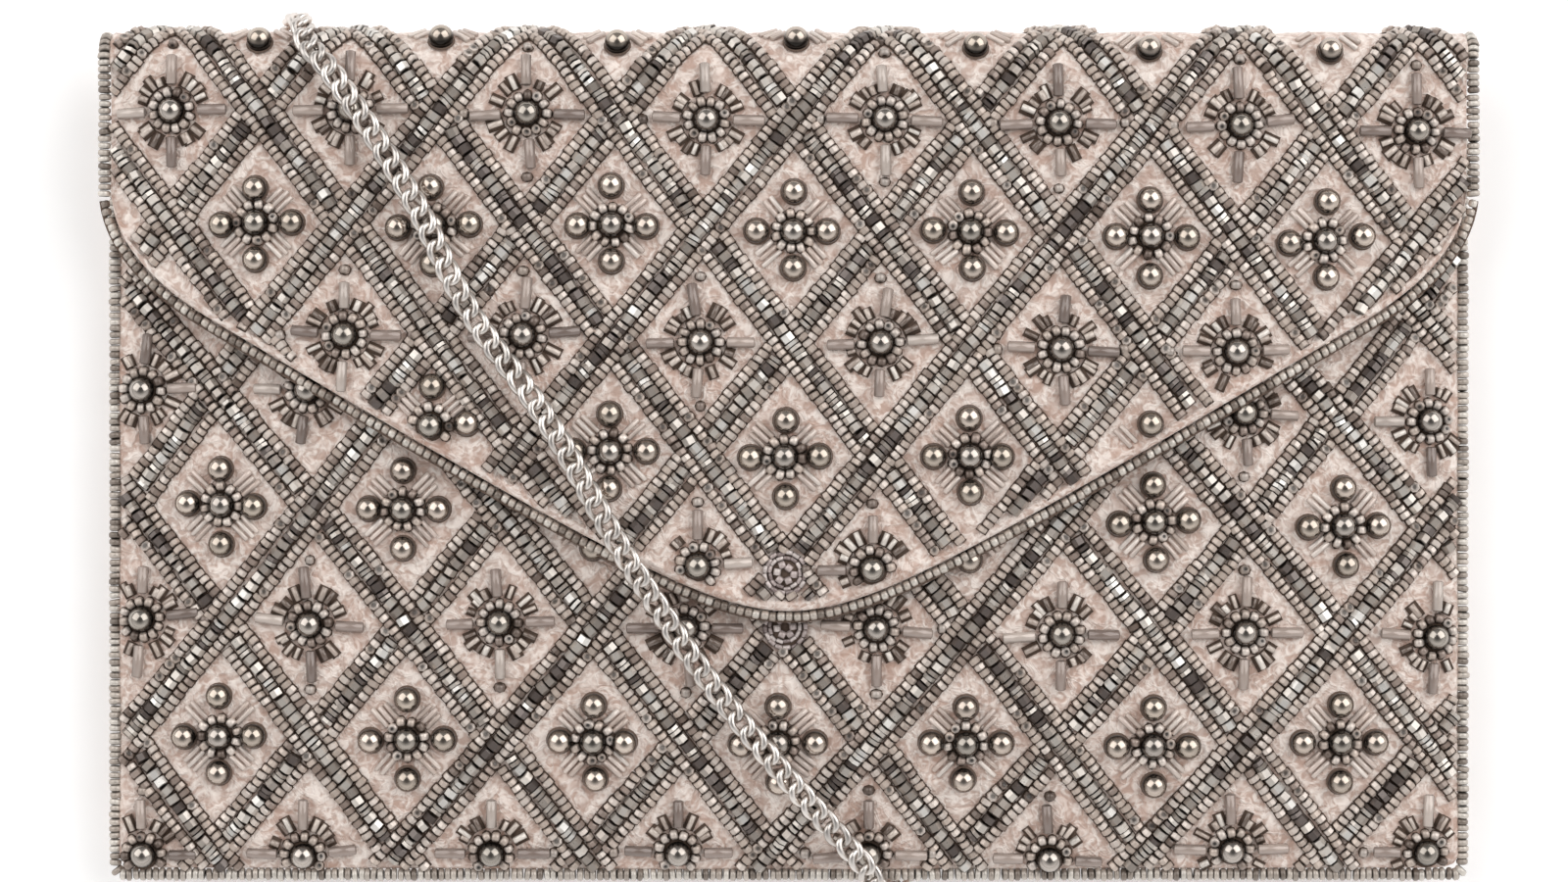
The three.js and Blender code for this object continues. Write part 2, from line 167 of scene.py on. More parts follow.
DOME_STOPS = [(0.0, 0.75), (0.3, 1.0), (0.55, 0.95), (0.8, 0.5), (0.92, 0.2), (1.0, 0.08)]
DOME_LEAN = 0.6  # how much brighter the tent is beyond the bottom of the bag
DOME_STRENGTH = 0.71
dome = Finish(bpy.data.worlds.new("studio_dome"))
bpy.context.scene.world = dome.owner
towards = dome.node("ShaderNodeTexCoord", {}, {}, "Generated")
dome_y = dome.node("ShaderNodeSeparateXYZ", {}, {0: towards}, "Y")
dome_z = dome.node("ShaderNodeSeparateXYZ", {}, {0: towards}, "Z")
dome_ring = dome.node("ShaderNodeValToRGB", {"stops": DOME_STOPS}, {0: dome_z})
dome.feed(dome.surface, {"Color": dome_ring * (1 - DOME_LEAN * dome_y), "Strength": DOME_STRENGTH})

SOFTBOX_SIDE = 1.9  # in metres, as are the next three
SOFTBOX_BEYOND = 1.3
SOFTBOX_HEIGHT = 2.0
SOFTBOX_SIZE = 3.2
for side_name, side, power in (("left", -1, 52), ("right", 1, 68)):
    softbox_data = bpy.data.lights.new(f"softbox_{side_name}", "AREA")
    softbox_data.size = SOFTBOX_SIZE
    softbox_data.energy = power
    softbox = bpy.data.objects.new(f"softbox_{side_name}", softbox_data)
    softbox.location = (side * SOFTBOX_SIDE, SOFTBOX_BEYOND, SOFTBOX_HEIGHT)
    softbox.rotation_mode = "QUATERNION"
    softbox.rotation_quaternion = softbox.location.to_track_quat("Z", "Y")
    bpy.context.collection.objects.link(softbox)
bpy.context.scene.view_settings.view_transform = "Standard"


# Back panel: plain blush satin over a thin padding and a lining, sewn to the front at the sides and bottom.
# It bellies a little, so it rests on a patch in its middle and its seams stand off the floor.
HALF_WIDTH = 122.7
BOTTOM = -76.4
BACK_TOP = 62
CORNER = 2.5
WALL = 2  # satin, padding and lining together
GAP = 0.3  # between pieces that lie on each other
BACK_RISE = 6.2  # how far the seams stand off the floor
BACK_FLAT = 0.05  # share of that rise which the floor presses flat
CROWN_POWER = 3.5
ROW_CROWDING = 1.2  # the rows of a mesh lie closer towards the bottom seam
SEAM_BULGE = 0.7
# Satin tones: its own pale colour and blush, a painted shade tone that also darkens the floats of the
# weave, and a painted highlight tone.
SATIN_LIGHT = colour(216, 192, 179)
SATIN_SHADE_AND_WEAVE = colour(176, 143, 127)
SATIN_HIGHLIGHT = colour(253, 241, 232)
SATIN_BLUSH = colour(216, 178, 160)


def bend(share):
    """1 in the middle of a panel, falling to 0 at its seam."""
    return 1 - np.minimum(1, np.abs(share)) ** CROWN_POWER


def back_height(x, y):
    """How far the outside of the back stands over the floor."""
    rise = 1 - bend(x / HALF_WIDTH) * bend(np.minimum(y, BACK_TOP) / BOTTOM)
    return BACK_RISE * np.maximum(0, rise - BACK_FLAT) / (1 - BACK_FLAT)


def panel_places(top, rows, columns):
    """Places over a panel from its bottom seam up to a top line, drawn in at the rounded corners."""
    y = BOTTOM + (top - BOTTOM) * np.linspace(0, 1, rows)[:, None] ** ROW_CROWDING
    into = np.maximum(0, BOTTOM + CORNER - y)
    half = HALF_WIDTH - CORNER + np.sqrt(CORNER ** 2 - into ** 2)
    x = np.linspace(-1, 1, columns)[None, :] * half
    return x, y + 0 * x


def unit(rows):
    """Each row of vectors brought to length 1."""
    return rows / np.linalg.norm(rows, axis=1)[:, None]


def shell(name, upper, lower, bulge, finish):
    """A cloth wall between two grids of points, its rim rounded out by the bulge."""
    rows, columns = upper.shape[:2]
    number = np.arange(rows * columns).reshape(rows, columns)
    quads = np.stack([number[:-1, :-1], number[:-1, 1:], number[1:, 1:], number[1:, :-1]], -1)
    quads = quads.reshape(-1, 4)
    rim = np.concatenate([number[0, :-1], number[:-1, -1], number[-1, :0:-1], number[:0:-1, 0]])
    inside = np.concatenate([number[1, :-1], number[:-1, -2], number[-2, :0:-1], number[:0:-1, 1]])
    top = upper.reshape(-1, 3)
    under = lower.reshape(-1, 3)
    out = unit(top[rim] - top[inside])
    points = [top, under]
    rings = [rim]
    for turn in np.radians([45, 90, 135]):
        middle = (top[rim] + under[rim]) / 2 + (top[rim] - under[rim]) / 2 * math.cos(turn)
        rings.append(sum(map(len, points)) + np.arange(len(rim)))
        points.append(middle + out * bulge * math.sin(turn))
    rings.append(rim + len(top))
    faces = [quads, quads[:, ::-1] + len(top)]
    for high, low in zip(rings, rings[1:]):
        faces.append(np.stack([high, low, np.roll(low, -1), np.roll(high, -1)], -1))
    corners = np.concatenate(faces)
    return build(name, np.concatenate(points), corners.ravel(), np.arange(len(corners)) * 4, finish)


def lattice_turns(pattern, x, y):
    """Where a place lies between the two sets of bands: an angle for each, a whole half turn on a band."""
    cos, sin = math.cos(pattern["turn"]), math.sin(pattern["turn"])
    x, y = x - pattern["middle"][0], y - pattern["middle"][1]
    row = y * (2 / pattern["pitch"][1])
    x, y = x - pattern["drift"] * row * row, y - pattern["twist"] * row * x
    across = (x * cos + y * sin) * (math.pi / pattern["pitch"][0])
    up = (y * cos - x * sin) * (math.pi / pattern["pitch"][1])
    return across - up, across + up


def swelling(cloth, place, pattern):
    """How far from the bead bands of a pattern: 0 on a band, 1 in the middle of a diamond."""
    x, y = (cloth.node("ShaderNodeSeparateXYZ", {}, {0: place}, axis) * (1 / MM) for axis in "XY")
    left, right = lattice_turns(pattern, x, y)
    return left.wave() * right.wave()


def satin(name, pattern=None):
    """Blush satin: fine floats, blush patches, puckers with painted shade in their hollows, painted
    highlights on creases, crinkles and patches, and a painted sheen beside any bead bands.
    """
    cloth = Finish(bpy.data.materials.new(name))
    place = cloth.node("ShaderNodeTexCoord", {}, {}, "Object")
    stretched = cloth.node("ShaderNodeMapping", {}, {"Vector": place, "Scale": (700.0, 5200.0, 2000.0)})
    floats = cloth.node("ShaderNodeTexNoise", {}, {"Vector": stretched, "Scale": 1.0, "Detail": 2.0})
    pucker = cloth.node(
        "ShaderNodeTexNoise", {}, {"Vector": place, "Scale": 210.0, "Detail": 2.5, "Distortion": 1.8})
    folds = cloth.node("ShaderNodeValToRGB", {"stops": [(0.3, 0.0), (0.66, 1.0)]}, {0: pucker})
    crease_stops = [(0.46, 0.0), (0.51, 1.0), (0.56, 0.0)]
    crease_and_highlight = cloth.node("ShaderNodeValToRGB", {"stops": crease_stops}, {0: pucker})
    slack = cloth.node(
        "ShaderNodeTexNoise", {}, {"Vector": place, "Scale": 130.0, "Detail": 1.5, "Distortion": 0.8})
    blush = cloth.node("ShaderNodeValToRGB", {"stops": [(0.45, 0.0), (0.65, 1.0)]}, {0: slack})
    shine = cloth.node("ShaderNodeValToRGB", {"stops": [(0.34, 1.0), (0.5, 0.0)]}, {0: slack})
    fine = cloth.node(
        "ShaderNodeTexNoise", {}, {"Vector": place, "Scale": 560.0, "Detail": 1.0, "Distortion": 1.2})
    fine = cloth.node("ShaderNodeValToRGB", {"stops": [(0.37, 0.0), (0.63, 1.0)]}, {0: fine})
    # Painted shade in the hollows of the puckers; then blush patches, painted sheen patches, painted
    # highlights on creases and crinkles, painted shade between the crinkles, and darker floats.
    base = cloth.mix(folds, SATIN_SHADE_AND_WEAVE, SATIN_LIGHT)
    for share, where, tone in (
        (0.55, blush, SATIN_BLUSH),
        (0.5, shine, SATIN_HIGHLIGHT),
        (0.85, crease_and_highlight, SATIN_HIGHLIGHT),
        (0.42, fine, SATIN_HIGHLIGHT),
        (0.6, 1 - fine, SATIN_SHADE_AND_WEAVE),
        (0.15, floats, SATIN_SHADE_AND_WEAVE),
    ):
        base = cloth.mix(share * where, base, tone)
    if pattern:
        # Painted sheen on the satin beside the bead bands, where it swells up from them.
        swell = swelling(cloth, place, pattern)
        slope_stops = [(0.5, 1.0), (0.72, 0.35), (0.9, 0.0)]
        slope_sheen = cloth.node("ShaderNodeValToRGB", {"stops": slope_stops}, {0: swell})
        base = cloth.mix(slope_sheen * (0.1 + 0.7 * folds * fine), base, SATIN_HIGHLIGHT)
    relief = pucker + 0.25 * crease_and_highlight + 0.2 * fine + 0.1 * floats
    bump = cloth.node("ShaderNodeBump", {}, {"Strength": 0.4, "Distance": 0.002, "Height": relief})
    cloth.feed(cloth.surface, {
        "Base Color": base,
        "Roughness": 0.34 + 0.22 * floats,
        "Normal": bump,
        "Sheen Weight": 0.25,
        "Sheen Roughness": 0.35,
    })
    return cloth


back_x, back_y = panel_places(BACK_TOP, rows=70, columns=110)
back_under = np.stack([back_x, back_y, back_height(back_x, back_y)], -1)
back_satin = shell("back_satin", back_under + [0, 0, WALL], back_under, SEAM_BULGE, satin("plain_satin"))
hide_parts("back_panel")
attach(back_satin, "root")

# Front panel: the same satin, beaded, with its hem at the mouth of the pouch hidden under the flap.
# The bead bands are sewn through to the padding, so the satin swells between them.
HEM = 59
CROWN = 6.5
MOUTH_DROP = 0.25
MOUTH_REACH = 64
PUFF = 0.6
PUFF_POWER = 0.7
# The lattice on the cloth: its middle, the pitch of its diamonds, its turn, the drift and twist of its
# outer rows, and the motifs that are sewn out of their places.
FRONT_PATTERN = {"middle": (-1.4, -32.4), "pitch": (34.2, 41.4), "turn": math.radians(-0.7),
                 "drift": -0.4, "twist": -6e-3, "moved": {}}


def front_height(x, y):
    """Height of the front's face, crowned and a little lower towards the mouth."""
    reach = np.clip(y / MOUTH_REACH, 0, 1)
    along = np.where(y < 0, bend(y / BOTTOM), 1 - MOUTH_DROP * reach ** 2 * (3 - 2 * reach))
    return BACK_RISE + 2 * WALL + GAP + CROWN * bend(x / HALF_WIDTH) * along


def on_cloth(pattern, spots):
    """Places of a pattern's own grid on the cloth: slightly turned, its outer rows adrift and twisted."""
    cos, sin = math.cos(pattern["turn"]), math.sin(pattern["turn"])
    row = spots[:, 1] / pattern["pitch"][1] * 2
    x = spots[:, 0] * cos - spots[:, 1] * sin
    y = spots[:, 0] * sin + spots[:, 1] * cos
    adrift = np.stack([x + pattern["drift"] * row ** 2, y + pattern["twist"] * row * x], -1)
    return adrift + pattern["middle"]


def puff(pattern, x, y):
    """How far the satin swells between the bands of a pattern."""
    left, right = lattice_turns(pattern, x, y)
    return PUFF * np.abs(np.sin(left) * np.sin(right)) ** PUFF_POWER


def front_point(x, y):
    return np.stack([x, y, front_height(x, y) + puff(FRONT_PATTERN, x, y)], -1)


front_x, front_y = panel_places(HEM, rows=90, columns=140)
front_upper = front_point(front_x, front_y)
front_lower = np.stack([front_x, front_y, front_height(front_x, front_y) - WALL], -1)
front_satin = shell("front_satin", front_upper, front_lower, SEAM_BULGE,
                    satin("front_beaded_satin", FRONT_PATTERN))
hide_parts("front_panel")
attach(front_satin, "root")

# Flap: one piece of beaded satin from the seam on the back, over the top fold and down the front.
# Its blunt point and slanting sides end in a rolled edge, and a hidden magnet holds it down.
FLAP_LIFT = 4
FLAP_HALF_WIDTH = 123.8
FLAP_TIP = -28.3
FLAP_SLOPE = 0.6
FLAP_ROUNDING = 11.2
FLAP_TURN_X = 105  # from here the edge turns up into the sides
FLAP_TURN_Y = 48
HEM_ROLL = 0.5
HEM_WIDE = 0.8
HEM_FADE = 0.6  # share of the hem's width in which its roll dies away
HEM_BULGE = 0.6
EDGE_CROWDING = 1.6  # the rows of the mesh lie closer towards the edge
TOP = 76.6
FLAP_PATTERN = {"middle": (0.25, 19.9), "pitch": (32.45, 40.6), "turn": math.radians(-1),
                "drift": 0, "twist": 0, "moved": {(-2, -1): (-0.4, 4.4)}}


def flap_height(x, y):
    return front_height(x, y) + FLAP_LIFT + WALL


def slant_edge(x):
    return FLAP_TIP - FLAP_ROUNDING + np.hypot(FLAP_SLOPE * x, FLAP_ROUNDING)


def flap_edge(x):
    """The free edge of the flap: a blunt point, slanting sides, and a turn up into the straight sides."""
    reach = FLAP_HALF_WIDTH - FLAP_TURN_X
    turn = 1 - np.sqrt(np.clip(1 - (np.abs(x) - FLAP_TURN_X) / reach, 0, 1))
    start = slant_edge(FLAP_TURN_X)
    corner = start + FLAP_SLOPE * reach
    turned = start * (1 - turn) ** 2 + 2 * corner * turn * (1 - turn) + FLAP_TURN_Y * turn ** 2
    return np.where(np.abs(x) <= FLAP_TURN_X, slant_edge(x), turned)


def fold_at(x):
    """Radius of the top fold, and the line it turns about."""
    top, bottom = flap_height(x, TOP), back_height(x, TOP)
    radius = (top - bottom) / 2
    return radius, TOP - radius, (top + bottom) / 2


def hem_roll(x, v):
    """How far the rolled hem stands up along the free edge of the flap."""
    return HEM_ROLL * np.exp(-((v - flap_edge(x) - HEM_WIDE) / (HEM_FADE * HEM_WIDE)) ** 2)


def flap_point(x, v, sunk=None):
    """Point of the flap's outer face, or of a face sunk below it, v being measured along the cloth."""
    radius, fold_y, fold_z = fold_at(x)
    depth = -puff(FLAP_PATTERN, x, v) - hem_roll(x, v) if sunk is None else sunk
    turn = np.clip((v - fold_y) / radius, 0, math.pi)
    past = np.maximum(0, v - fold_y - math.pi * radius)
    flat = v <= fold_y
    y = np.where(flat, v, fold_y + (radius - depth) * np.sin(turn) - past)
    z = np.where(flat, flap_height(x, v) - depth, fold_z + (radius - depth) * np.cos(turn))
    return np.stack([x, y, z], -1)


turn_columns = np.linspace(0, 1, 15)[1:]
turn_columns = FLAP_TURN_X + (FLAP_HALF_WIDTH - FLAP_TURN_X) * turn_columns * (2 - turn_columns)
flap_x = np.concatenate([-turn_columns[::-1], np.linspace(-FLAP_TURN_X, FLAP_TURN_X, 119), turn_columns])
flap_x = flap_x[None, :]
flap_radius, flap_fold_y, _ = fold_at(flap_x)
front_share = np.linspace(0, 1, 72)[:, None] ** EDGE_CROWDING
fold_turn = np.linspace(0, math.pi, 22)[1:, None]
flap_v = np.concatenate([
    flap_edge(flap_x) + (flap_fold_y - flap_edge(flap_x)) * front_share,
    flap_fold_y + flap_radius * fold_turn,
    flap_fold_y + flap_radius * math.pi + (flap_fold_y - BACK_TOP - GAP),
])
flap_x = flap_x + 0 * flap_v
flap_satin = shell("flap_satin", flap_point(flap_x, flap_v), flap_point(flap_x, flap_v, WALL), HEM_BULGE,
                   satin("flap_beaded_satin", FLAP_PATTERN))
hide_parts("flap")
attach(flap_satin, "root")

# Lattice bands: three rows of beads sewn side by side, crossing into diamonds over the whole front.
# A row of large six-sided cut steel beads runs between two rows of small round taupe ones.
TAUPE = [colour(116, 101, 92), colour(160, 143, 133), colour(202, 186, 174), colour(224, 211, 201)]
STEEL = [colour(110, 101, 97), colour(178, 168, 159), colour(220, 212, 203), colour(244, 240, 234)]
TAUPE_SHARES = [0.02, 0.12, 0.48, 0.38]
STEEL_SHARES = [0.17, 0.28, 0.43, 0.12]
TINT_STRAY = 0.12
RUN_SHARE = 0.6  # how far cut beads of one tint come in runs
RUN_WAVES = [(0.31, 0.17), (0.21, -0.33), (-0.12, 0.41)]
BAND_WAVER = 0.25
BAND_STRAY = {"place": 0.07, "turn": 0.08, "lift": 0.07, "size": 0.05}
ROLL_STRAY = 0.2
TILT_STRAY = 0.1
ON_END = 1.2  # tilt of a bead that has tipped up on its thread
SUNK = 0.68  # share of its half thickness at which a bead of the bands sits over the cloth
FOLD_TURN = 1.8  # how far the beads go round the top fold
FLAP_SIDE_SHARE = 0.4  # of the margin at the flap's edge, what is kept at its sides
FRONT_SIDE_SHARE = 0.15  # and what is kept at the sides and at the bottom of the front
FRONT_BOTTOM_SHARE = 0.2
UNDER_FLAP = 8  # how far the beads of the front go on under the flap
HEM_BARE = 2  # strip without beads along the mouth
SHORT_SHARE = 0.35  # of the cut beads, a pair of short ones in the place of a long one


def turned(profile, sides):
    """A bead turned about its thread: pairs of place along the thread and radius, closed at both ends."""
    around = np.arange(sides) / sides * 2 * math.pi
    points = []
    for along, radius in profile:
        points += [[radius * math.cos(a), along, radius * math.sin(a)] for a in around]
    faces = [list(range(sides))]
    for ring in range(len(profile) - 1):
        for side in range(sides):
            here, there = ring * sides + side, ring * sides + (side + 1) % sides
            faces.append([here, here + sides, there + sides, there])
    faces.append([(len(profile) - 1) * sides + side for side in reversed(range(sides))])
    return np.array(points), faces


def patch(outline):
    """A thin patch of stitches with a given outline."""
    count = len(outline)
    points = [[x, y, side] for side in (-1, 1) for x, y in outline]
    faces = [list(range(count))[::-1], list(range(count, 2 * count))]
    faces += [[k, (k + 1) % count, (k + 1) % count + count, k + count] for k in range(count)]
    return np.array(points), faces


def swing(first, second, angle):
    """Two axes square to each other, swung by an angle, the first towards the second."""
    cos, sin = np.cos(angle)[:, None], np.sin(angle)[:, None]
    return first * cos + second * sin, second * cos - first * sin


def seat(point, x, v, angle, lift, roll, tilt):
    """Where beads sit on a face: their middles, and their axes across, along the thread and up."""
    step = 0.2
    across = point(x + step, v) - point(x - step, v)
    normal = unit(np.cross(across, point(x, v + step) - point(x, v - step)))
    across = unit(across)
    along, _ = swing(across, np.cross(normal, across), angle)
    side = np.cross(along, normal)
    middle = point(x, v) + normal * np.reshape(lift, (-1, 1))
    along, up = swing(along, normal, tilt)
    side, up = swing(side, up, roll)
    return middle, side, along, up


def sew(name, shape, seats, sizes, tints, shade, finish, smooth=True):
    """Many beads of one shape joined in one mesh, each with its own tint, darkened by painted shade where
    the shade says.
    """
    points, faces = shape
    middle, side, along, up = seats
    scaled = points[None] * np.reshape(sizes, (len(middle), 1, 3))
    placed = middle[:, None] + scaled[..., :1] * side[:, None]
    placed += scaled[..., 1:2] * along[:, None] + scaled[..., 2:] * up[:, None]
    corners = np.concatenate(faces)
    starts = np.cumsum([0] + [len(face) for face in faces[:-1]])
    bead = np.arange(len(middle))[:, None]
    piece = build(name, placed.reshape(-1, 3), (corners + bead * len(points)).ravel(),
                  (starts + bead * len(corners)).ravel(), finish, smooth)
    tone = np.ones((len(middle), len(points), 4), np.float32)
    tone[..., :3] = tints[:, None, :3] * np.reshape(shade, (1, -1, 1))
    piece.data.attributes.new("tint", "FLOAT_COLOR", "POINT").data.foreach_set("color", tone.ravel())
    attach(piece, "root")
    return piece


def tints_of(rng, palette, weights, count, runs=0):
    """A tint for each bead from a palette that goes from dark to light, no two quite alike."""
    order = np.argsort(np.argsort(runs + rng.normal(0, 1, count))) / count
    picked = np.array(palette)[np.searchsorted(np.cumsum(weights[:-1]), order)]
    return picked * rng.uniform(1 - TINT_STRAY, 1 + TINT_STRAY, (count, 1))


def band_row(pattern, offset, pitch, clear, rng):
    """One row of beads along all lines of the lattice; where two bands cross, one of them stops."""
    half_x, half_y = pattern["pitch"][0] / 2, pattern["pitch"][1] / 2
    length = math.hypot(half_x, half_y)
    count = round(length / pitch)
    along = (np.arange(count)[:, None] + 0.5) * length / count
    spots, angles = [], []
    for j in range(-6, 6):
        for i in [i for i in range(-11, 12) if (i + j) % 2 == 0]:
            for lean in (1, -1):
                line = np.array([lean * half_x, half_y]) / length
                other = np.array([-lean * half_x, half_y]) / length
                start = np.array([i * half_x, j * half_y])
                waver = rng.uniform(-BAND_WAVER, BAND_WAVER) * np.sin(math.pi * along / length)
                waver = waver + rng.normal(0, BAND_STRAY["place"], (count, 1))
                row = start + along * line + (offset + waver) * np.array([-line[1], line[0]])
                keep = np.ones(count, bool)
                for corner, (ci, cj) in ((start, (i, j)), (start + length * line, (i + lean, j + 1))):
                    if (1 if (ci - cj) // 2 % 2 else -1) != lean:
                        away = row - corner
                        keep &= np.abs(away[:, 0] * other[1] - away[:, 1] * other[0]) > clear
                spots.append(row[keep])
                angles.append(np.full(keep.sum(), math.atan2(line[1], line[0]) + pattern["turn"]))
    return on_cloth(pattern, np.concatenate(spots)), np.concatenate(angles)


def on_flap(spots, margin):
    """Which places lie on the flap, clear of its edge and no further round the fold than beads go."""
    x, v = spots.T
    radius, fold_y, _ = fold_at(x)
    inside = (np.abs(x) < FLAP_HALF_WIDTH - margin * FLAP_SIDE_SHARE) & (v > flap_edge(x) + margin)
    return inside & (v < fold_y + radius * FOLD_TURN)


def on_front(spots, margin):
    """Which places lie on the front, as far as a little way under the flap."""
    x, y = spots.T
    inside = np.abs(x) < HALF_WIDTH - margin * FRONT_SIDE_SHARE
    inside &= y > BOTTOM + margin * FRONT_BOTTOM_SHARE
    return inside & (y < np.minimum(flap_edge(x) + UNDER_FLAP, HEM - HEM_BARE))


TARNISH = colour(76, 57, 44)


def tinted(name, metallic, roughness, coat, tarnish):
    """Bead finish that takes each bead's own tint with its painted shade, unevenly polished and a little
    tarnished.
    """
    glass = Finish(bpy.data.materials.new(name))
    tint = glass.node("ShaderNodeAttribute", {"attribute_name": "tint"}, {}, "Color")
    place = glass.node("ShaderNodeTexCoord", {}, {}, "Object")
    uneven = glass.node("ShaderNodeTexNoise", {}, {"Vector": place, "Scale": 900.0, "Detail": 2.0})
    glass.feed(glass.surface, {
        "Base Color": glass.mix(tarnish * uneven, tint, TARNISH),
        "Roughness": roughness + 0.16 * uneven,
        "Metallic": metallic,
        "Coat Weight": coat,
        "Coat Roughness": 0.08,
    })
    return glass


CUT_BEAD = turned([(-1, 0.68), (-0.8, 1), (0.8, 1), (1, 0.68)], 6)
SMALL_BEAD = turned([(-0.8, 0.3), (-1, 0.7), (-0.66, 1), (0.66, 1), (1, 0.7), (0.8, 0.3)], 7)
THREAD_BED = patch([(-1, -1), (1, -1), (1, 1), (-1, 1)])
PLY = 0.08  # half the thickness of the stitches
ROSETTES = {"flap": (-0.7, -21.9), "front": (-0.7, -32.0)}
ROSETTE_REACH = 4.1
# Painted shade over a bead's points: dark at its ends, round the hole where the thread goes in, for the
# shadow in the gaps between beads.
cut_bead_painted_shade = np.where(np.abs(CUT_BEAD[0][:, 1]) > 0.9, 0.05, 1)
small_out = np.hypot(SMALL_BEAD[0][:, 0], SMALL_BEAD[0][:, 2])
small_bead_painted_shade = np.interp(small_out, [0.3, 0.7, 1], [0.15, 0.6, 1])
cut_steel = tinted("cut_steel", 0.5, 0.22, 0.2, 0.3)
seed_glass = tinted("taupe_seed_glass", 0.25, 0.26, 0.25, 0.3)
rng = np.random.default_rng(7)


def stitched(name, deep, light):
    """Sewing thread, seen as a patch of stitches under the beads; dark, it also paints the shade round and
    between them.
    """
    stitches = Finish(bpy.data.materials.new(name))
    place = stitches.node("ShaderNodeTexCoord", {}, {}, "Object")
    ply = stitches.node("ShaderNodeTexNoise", {}, {"Vector": place, "Scale": 2600.0, "Detail": 2.0})
    stitches.feed(stitches.surface, {
        "Base Color": stitches.mix(ply, deep, light),
        "Roughness": 0.6 + 0.3 * ply,
    })
    return stitches


thread_and_shade = stitched("dark_sewing_thread", colour(42, 30, 22), colour(98, 76, 61))
NO_TINT = np.ones((1, 4))
BED_LIFT = 0.2
# The dark margin of a patch round its bead is painted shade between the beads.
BAND_BED = 1.1, 1.2  # how much wider and longer than its bead a patch of stitches is


def stitch_bed(name, shape, point, spots, turns, sizes, lift, stitches):
    """Patches of stitches on a face, under the beads that they hold: thread, and painted shade where they
    show round the beads.
    """
    flat = np.zeros(len(spots))
    seats = seat(point, *spots.T, turns + flat, lift + flat, flat, flat)
    sew(name, shape, seats, np.column_stack([sizes, PLY + flat]), NO_TINT, 1, stitches)


for panel, pattern, point, inside in (
    ("flap", FLAP_PATTERN, flap_point, on_flap),
    ("front", FRONT_PATTERN, front_point, on_front),
):
    bed_spots, bed_turns, bed_sizes = [], [], []
    for row_name, offsets, pitch, clear, margin, size, on_end_share in (
        ("cut_beads", (0,), 1.9, 4.0, 1.7, (1.2, 0.86, 1.1), 0),
        ("band_seeds", (-2.45, 2.45), 1.38, 3.7, 1.3, (0.96, 0.61, 0.88), 0.07),
    ):
        rows = [band_row(pattern, offset, pitch, clear, rng) for offset in offsets]
        spots, angles = (np.concatenate(part) for part in zip(*rows))
        kept = inside(spots, margin) & (np.hypot(*(spots - ROSETTES[panel]).T) > ROSETTE_REACH)
        spots, angles = spots[kept], angles[kept]
        count = len(spots)
        angles = angles + rng.normal(0, BAND_STRAY["turn"], count)
        sizes = np.array(size) * rng.normal(1, BAND_STRAY["size"], (count, 3))
        if row_name == "cut_beads":
            short = rng.random(count) < SHORT_SHARE
            step = np.stack([np.cos(angles), np.sin(angles)], -1)[short] * pitch / 4
            sizes[short, 1] *= 0.5
            spots = np.concatenate([spots[~short], spots[short] - step, spots[short] + step])
            angles = np.concatenate([angles[~short], angles[short], angles[short]])
            sizes = np.concatenate([sizes[~short], sizes[short], sizes[short]])
            count = len(spots)
        on_end = np.where(rng.random(count) < on_end_share, ON_END, 0)
        seats = seat(point, *spots.T, angles, rng.normal(size[2] * SUNK, BAND_STRAY["lift"], count),
                     rng.normal(0, ROLL_STRAY, count), on_end + rng.normal(0, TILT_STRAY, count))
        if row_name == "cut_beads":
            runs = sum(np.sin(across * spots[:, 0] + up * spots[:, 1]) for across, up in RUN_WAVES)
            tints = tints_of(rng, STEEL, STEEL_SHARES, count, RUN_SHARE * runs)
            sew(f"{panel}_cut_beads", CUT_BEAD, seats, sizes, tints, cut_bead_painted_shade, cut_steel, False)
        else:
            tints = tints_of(rng, TAUPE, TAUPE_SHARES, count)
            sew(f"{panel}_band_seeds", SMALL_BEAD, seats, sizes, tints, small_bead_painted_shade, seed_glass, False)
        bed_spots.append(spots)
        bed_turns.append(angles)
        bed_sizes.append(sizes[:, :2] * BAND_BED)
    # Dark stitches under the band beads: thread, and painted shade in the gaps between them.
    stitch_bed(f"{panel}_band_thread_and_shade", THREAD_BED, point, np.concatenate(bed_spots),
               np.concatenate(bed_turns), np.concatenate(bed_sizes), BED_LIFT, thread_and_shade)

# Stars and crosses: one in each diamond, stars and crosses in turn from row to row.
# A pewter pearl sits in a ring of seed beads, with bugle beads or four more pearls round it.
PEARL_RADIUS = 2.3
PEARL_LIFT = 1.2
PEARL_TURN = 0.4  # how far the threads of the pearls lean either way
PEWTER = [colour(168, 160, 151), colour(182, 173, 165)]
PEWTER_SHARES = [0.4, 0.6]
PEWTER_ROSE = 1.0, 0.95, 0.91, 1.0  # the arms of a cross are a little lighter and warmer
ARM_GLOW = 1.25
BUGLE_TINTS = {
    "long": [colour(140, 124, 116), colour(166, 149, 140), colour(186, 169, 159), colour(208, 194, 184)],
    "fan": [colour(126, 110, 100), colour(190, 173, 161), colour(222, 207, 195), colour(240, 230, 220)],
    "pair": [colour(210, 191, 179), colour(222, 204, 193), colour(232, 216, 205), colour(242, 229, 219)],
}
BUGLE_SHARES = [0.2, 0.3, 0.35, 0.15]
SEED_SHARES = [0.06, 0.1, 0.36, 0.48]
SATELLITES = [[6.4, 0], [-6.4, 0], [0, 6.9], [0, -6.9]]
EDGE_MARGIN = 2.4  # from the edge of the flap to the nearest pearls
SIDE_MARGIN = 3.9  # from the side seams to the nearest middles
SIDE_BEYOND = 1  # motifs this far beyond the side seams are still drawn in
SEAM_MARGIN = 1.8  # from the bottom seam to the nearest pearls
FOLD_MARGIN = 0.5  # from the top of the fold to the nearest pearls
FOLD_BEYOND = 3  # how far round the fold bugles are sewn
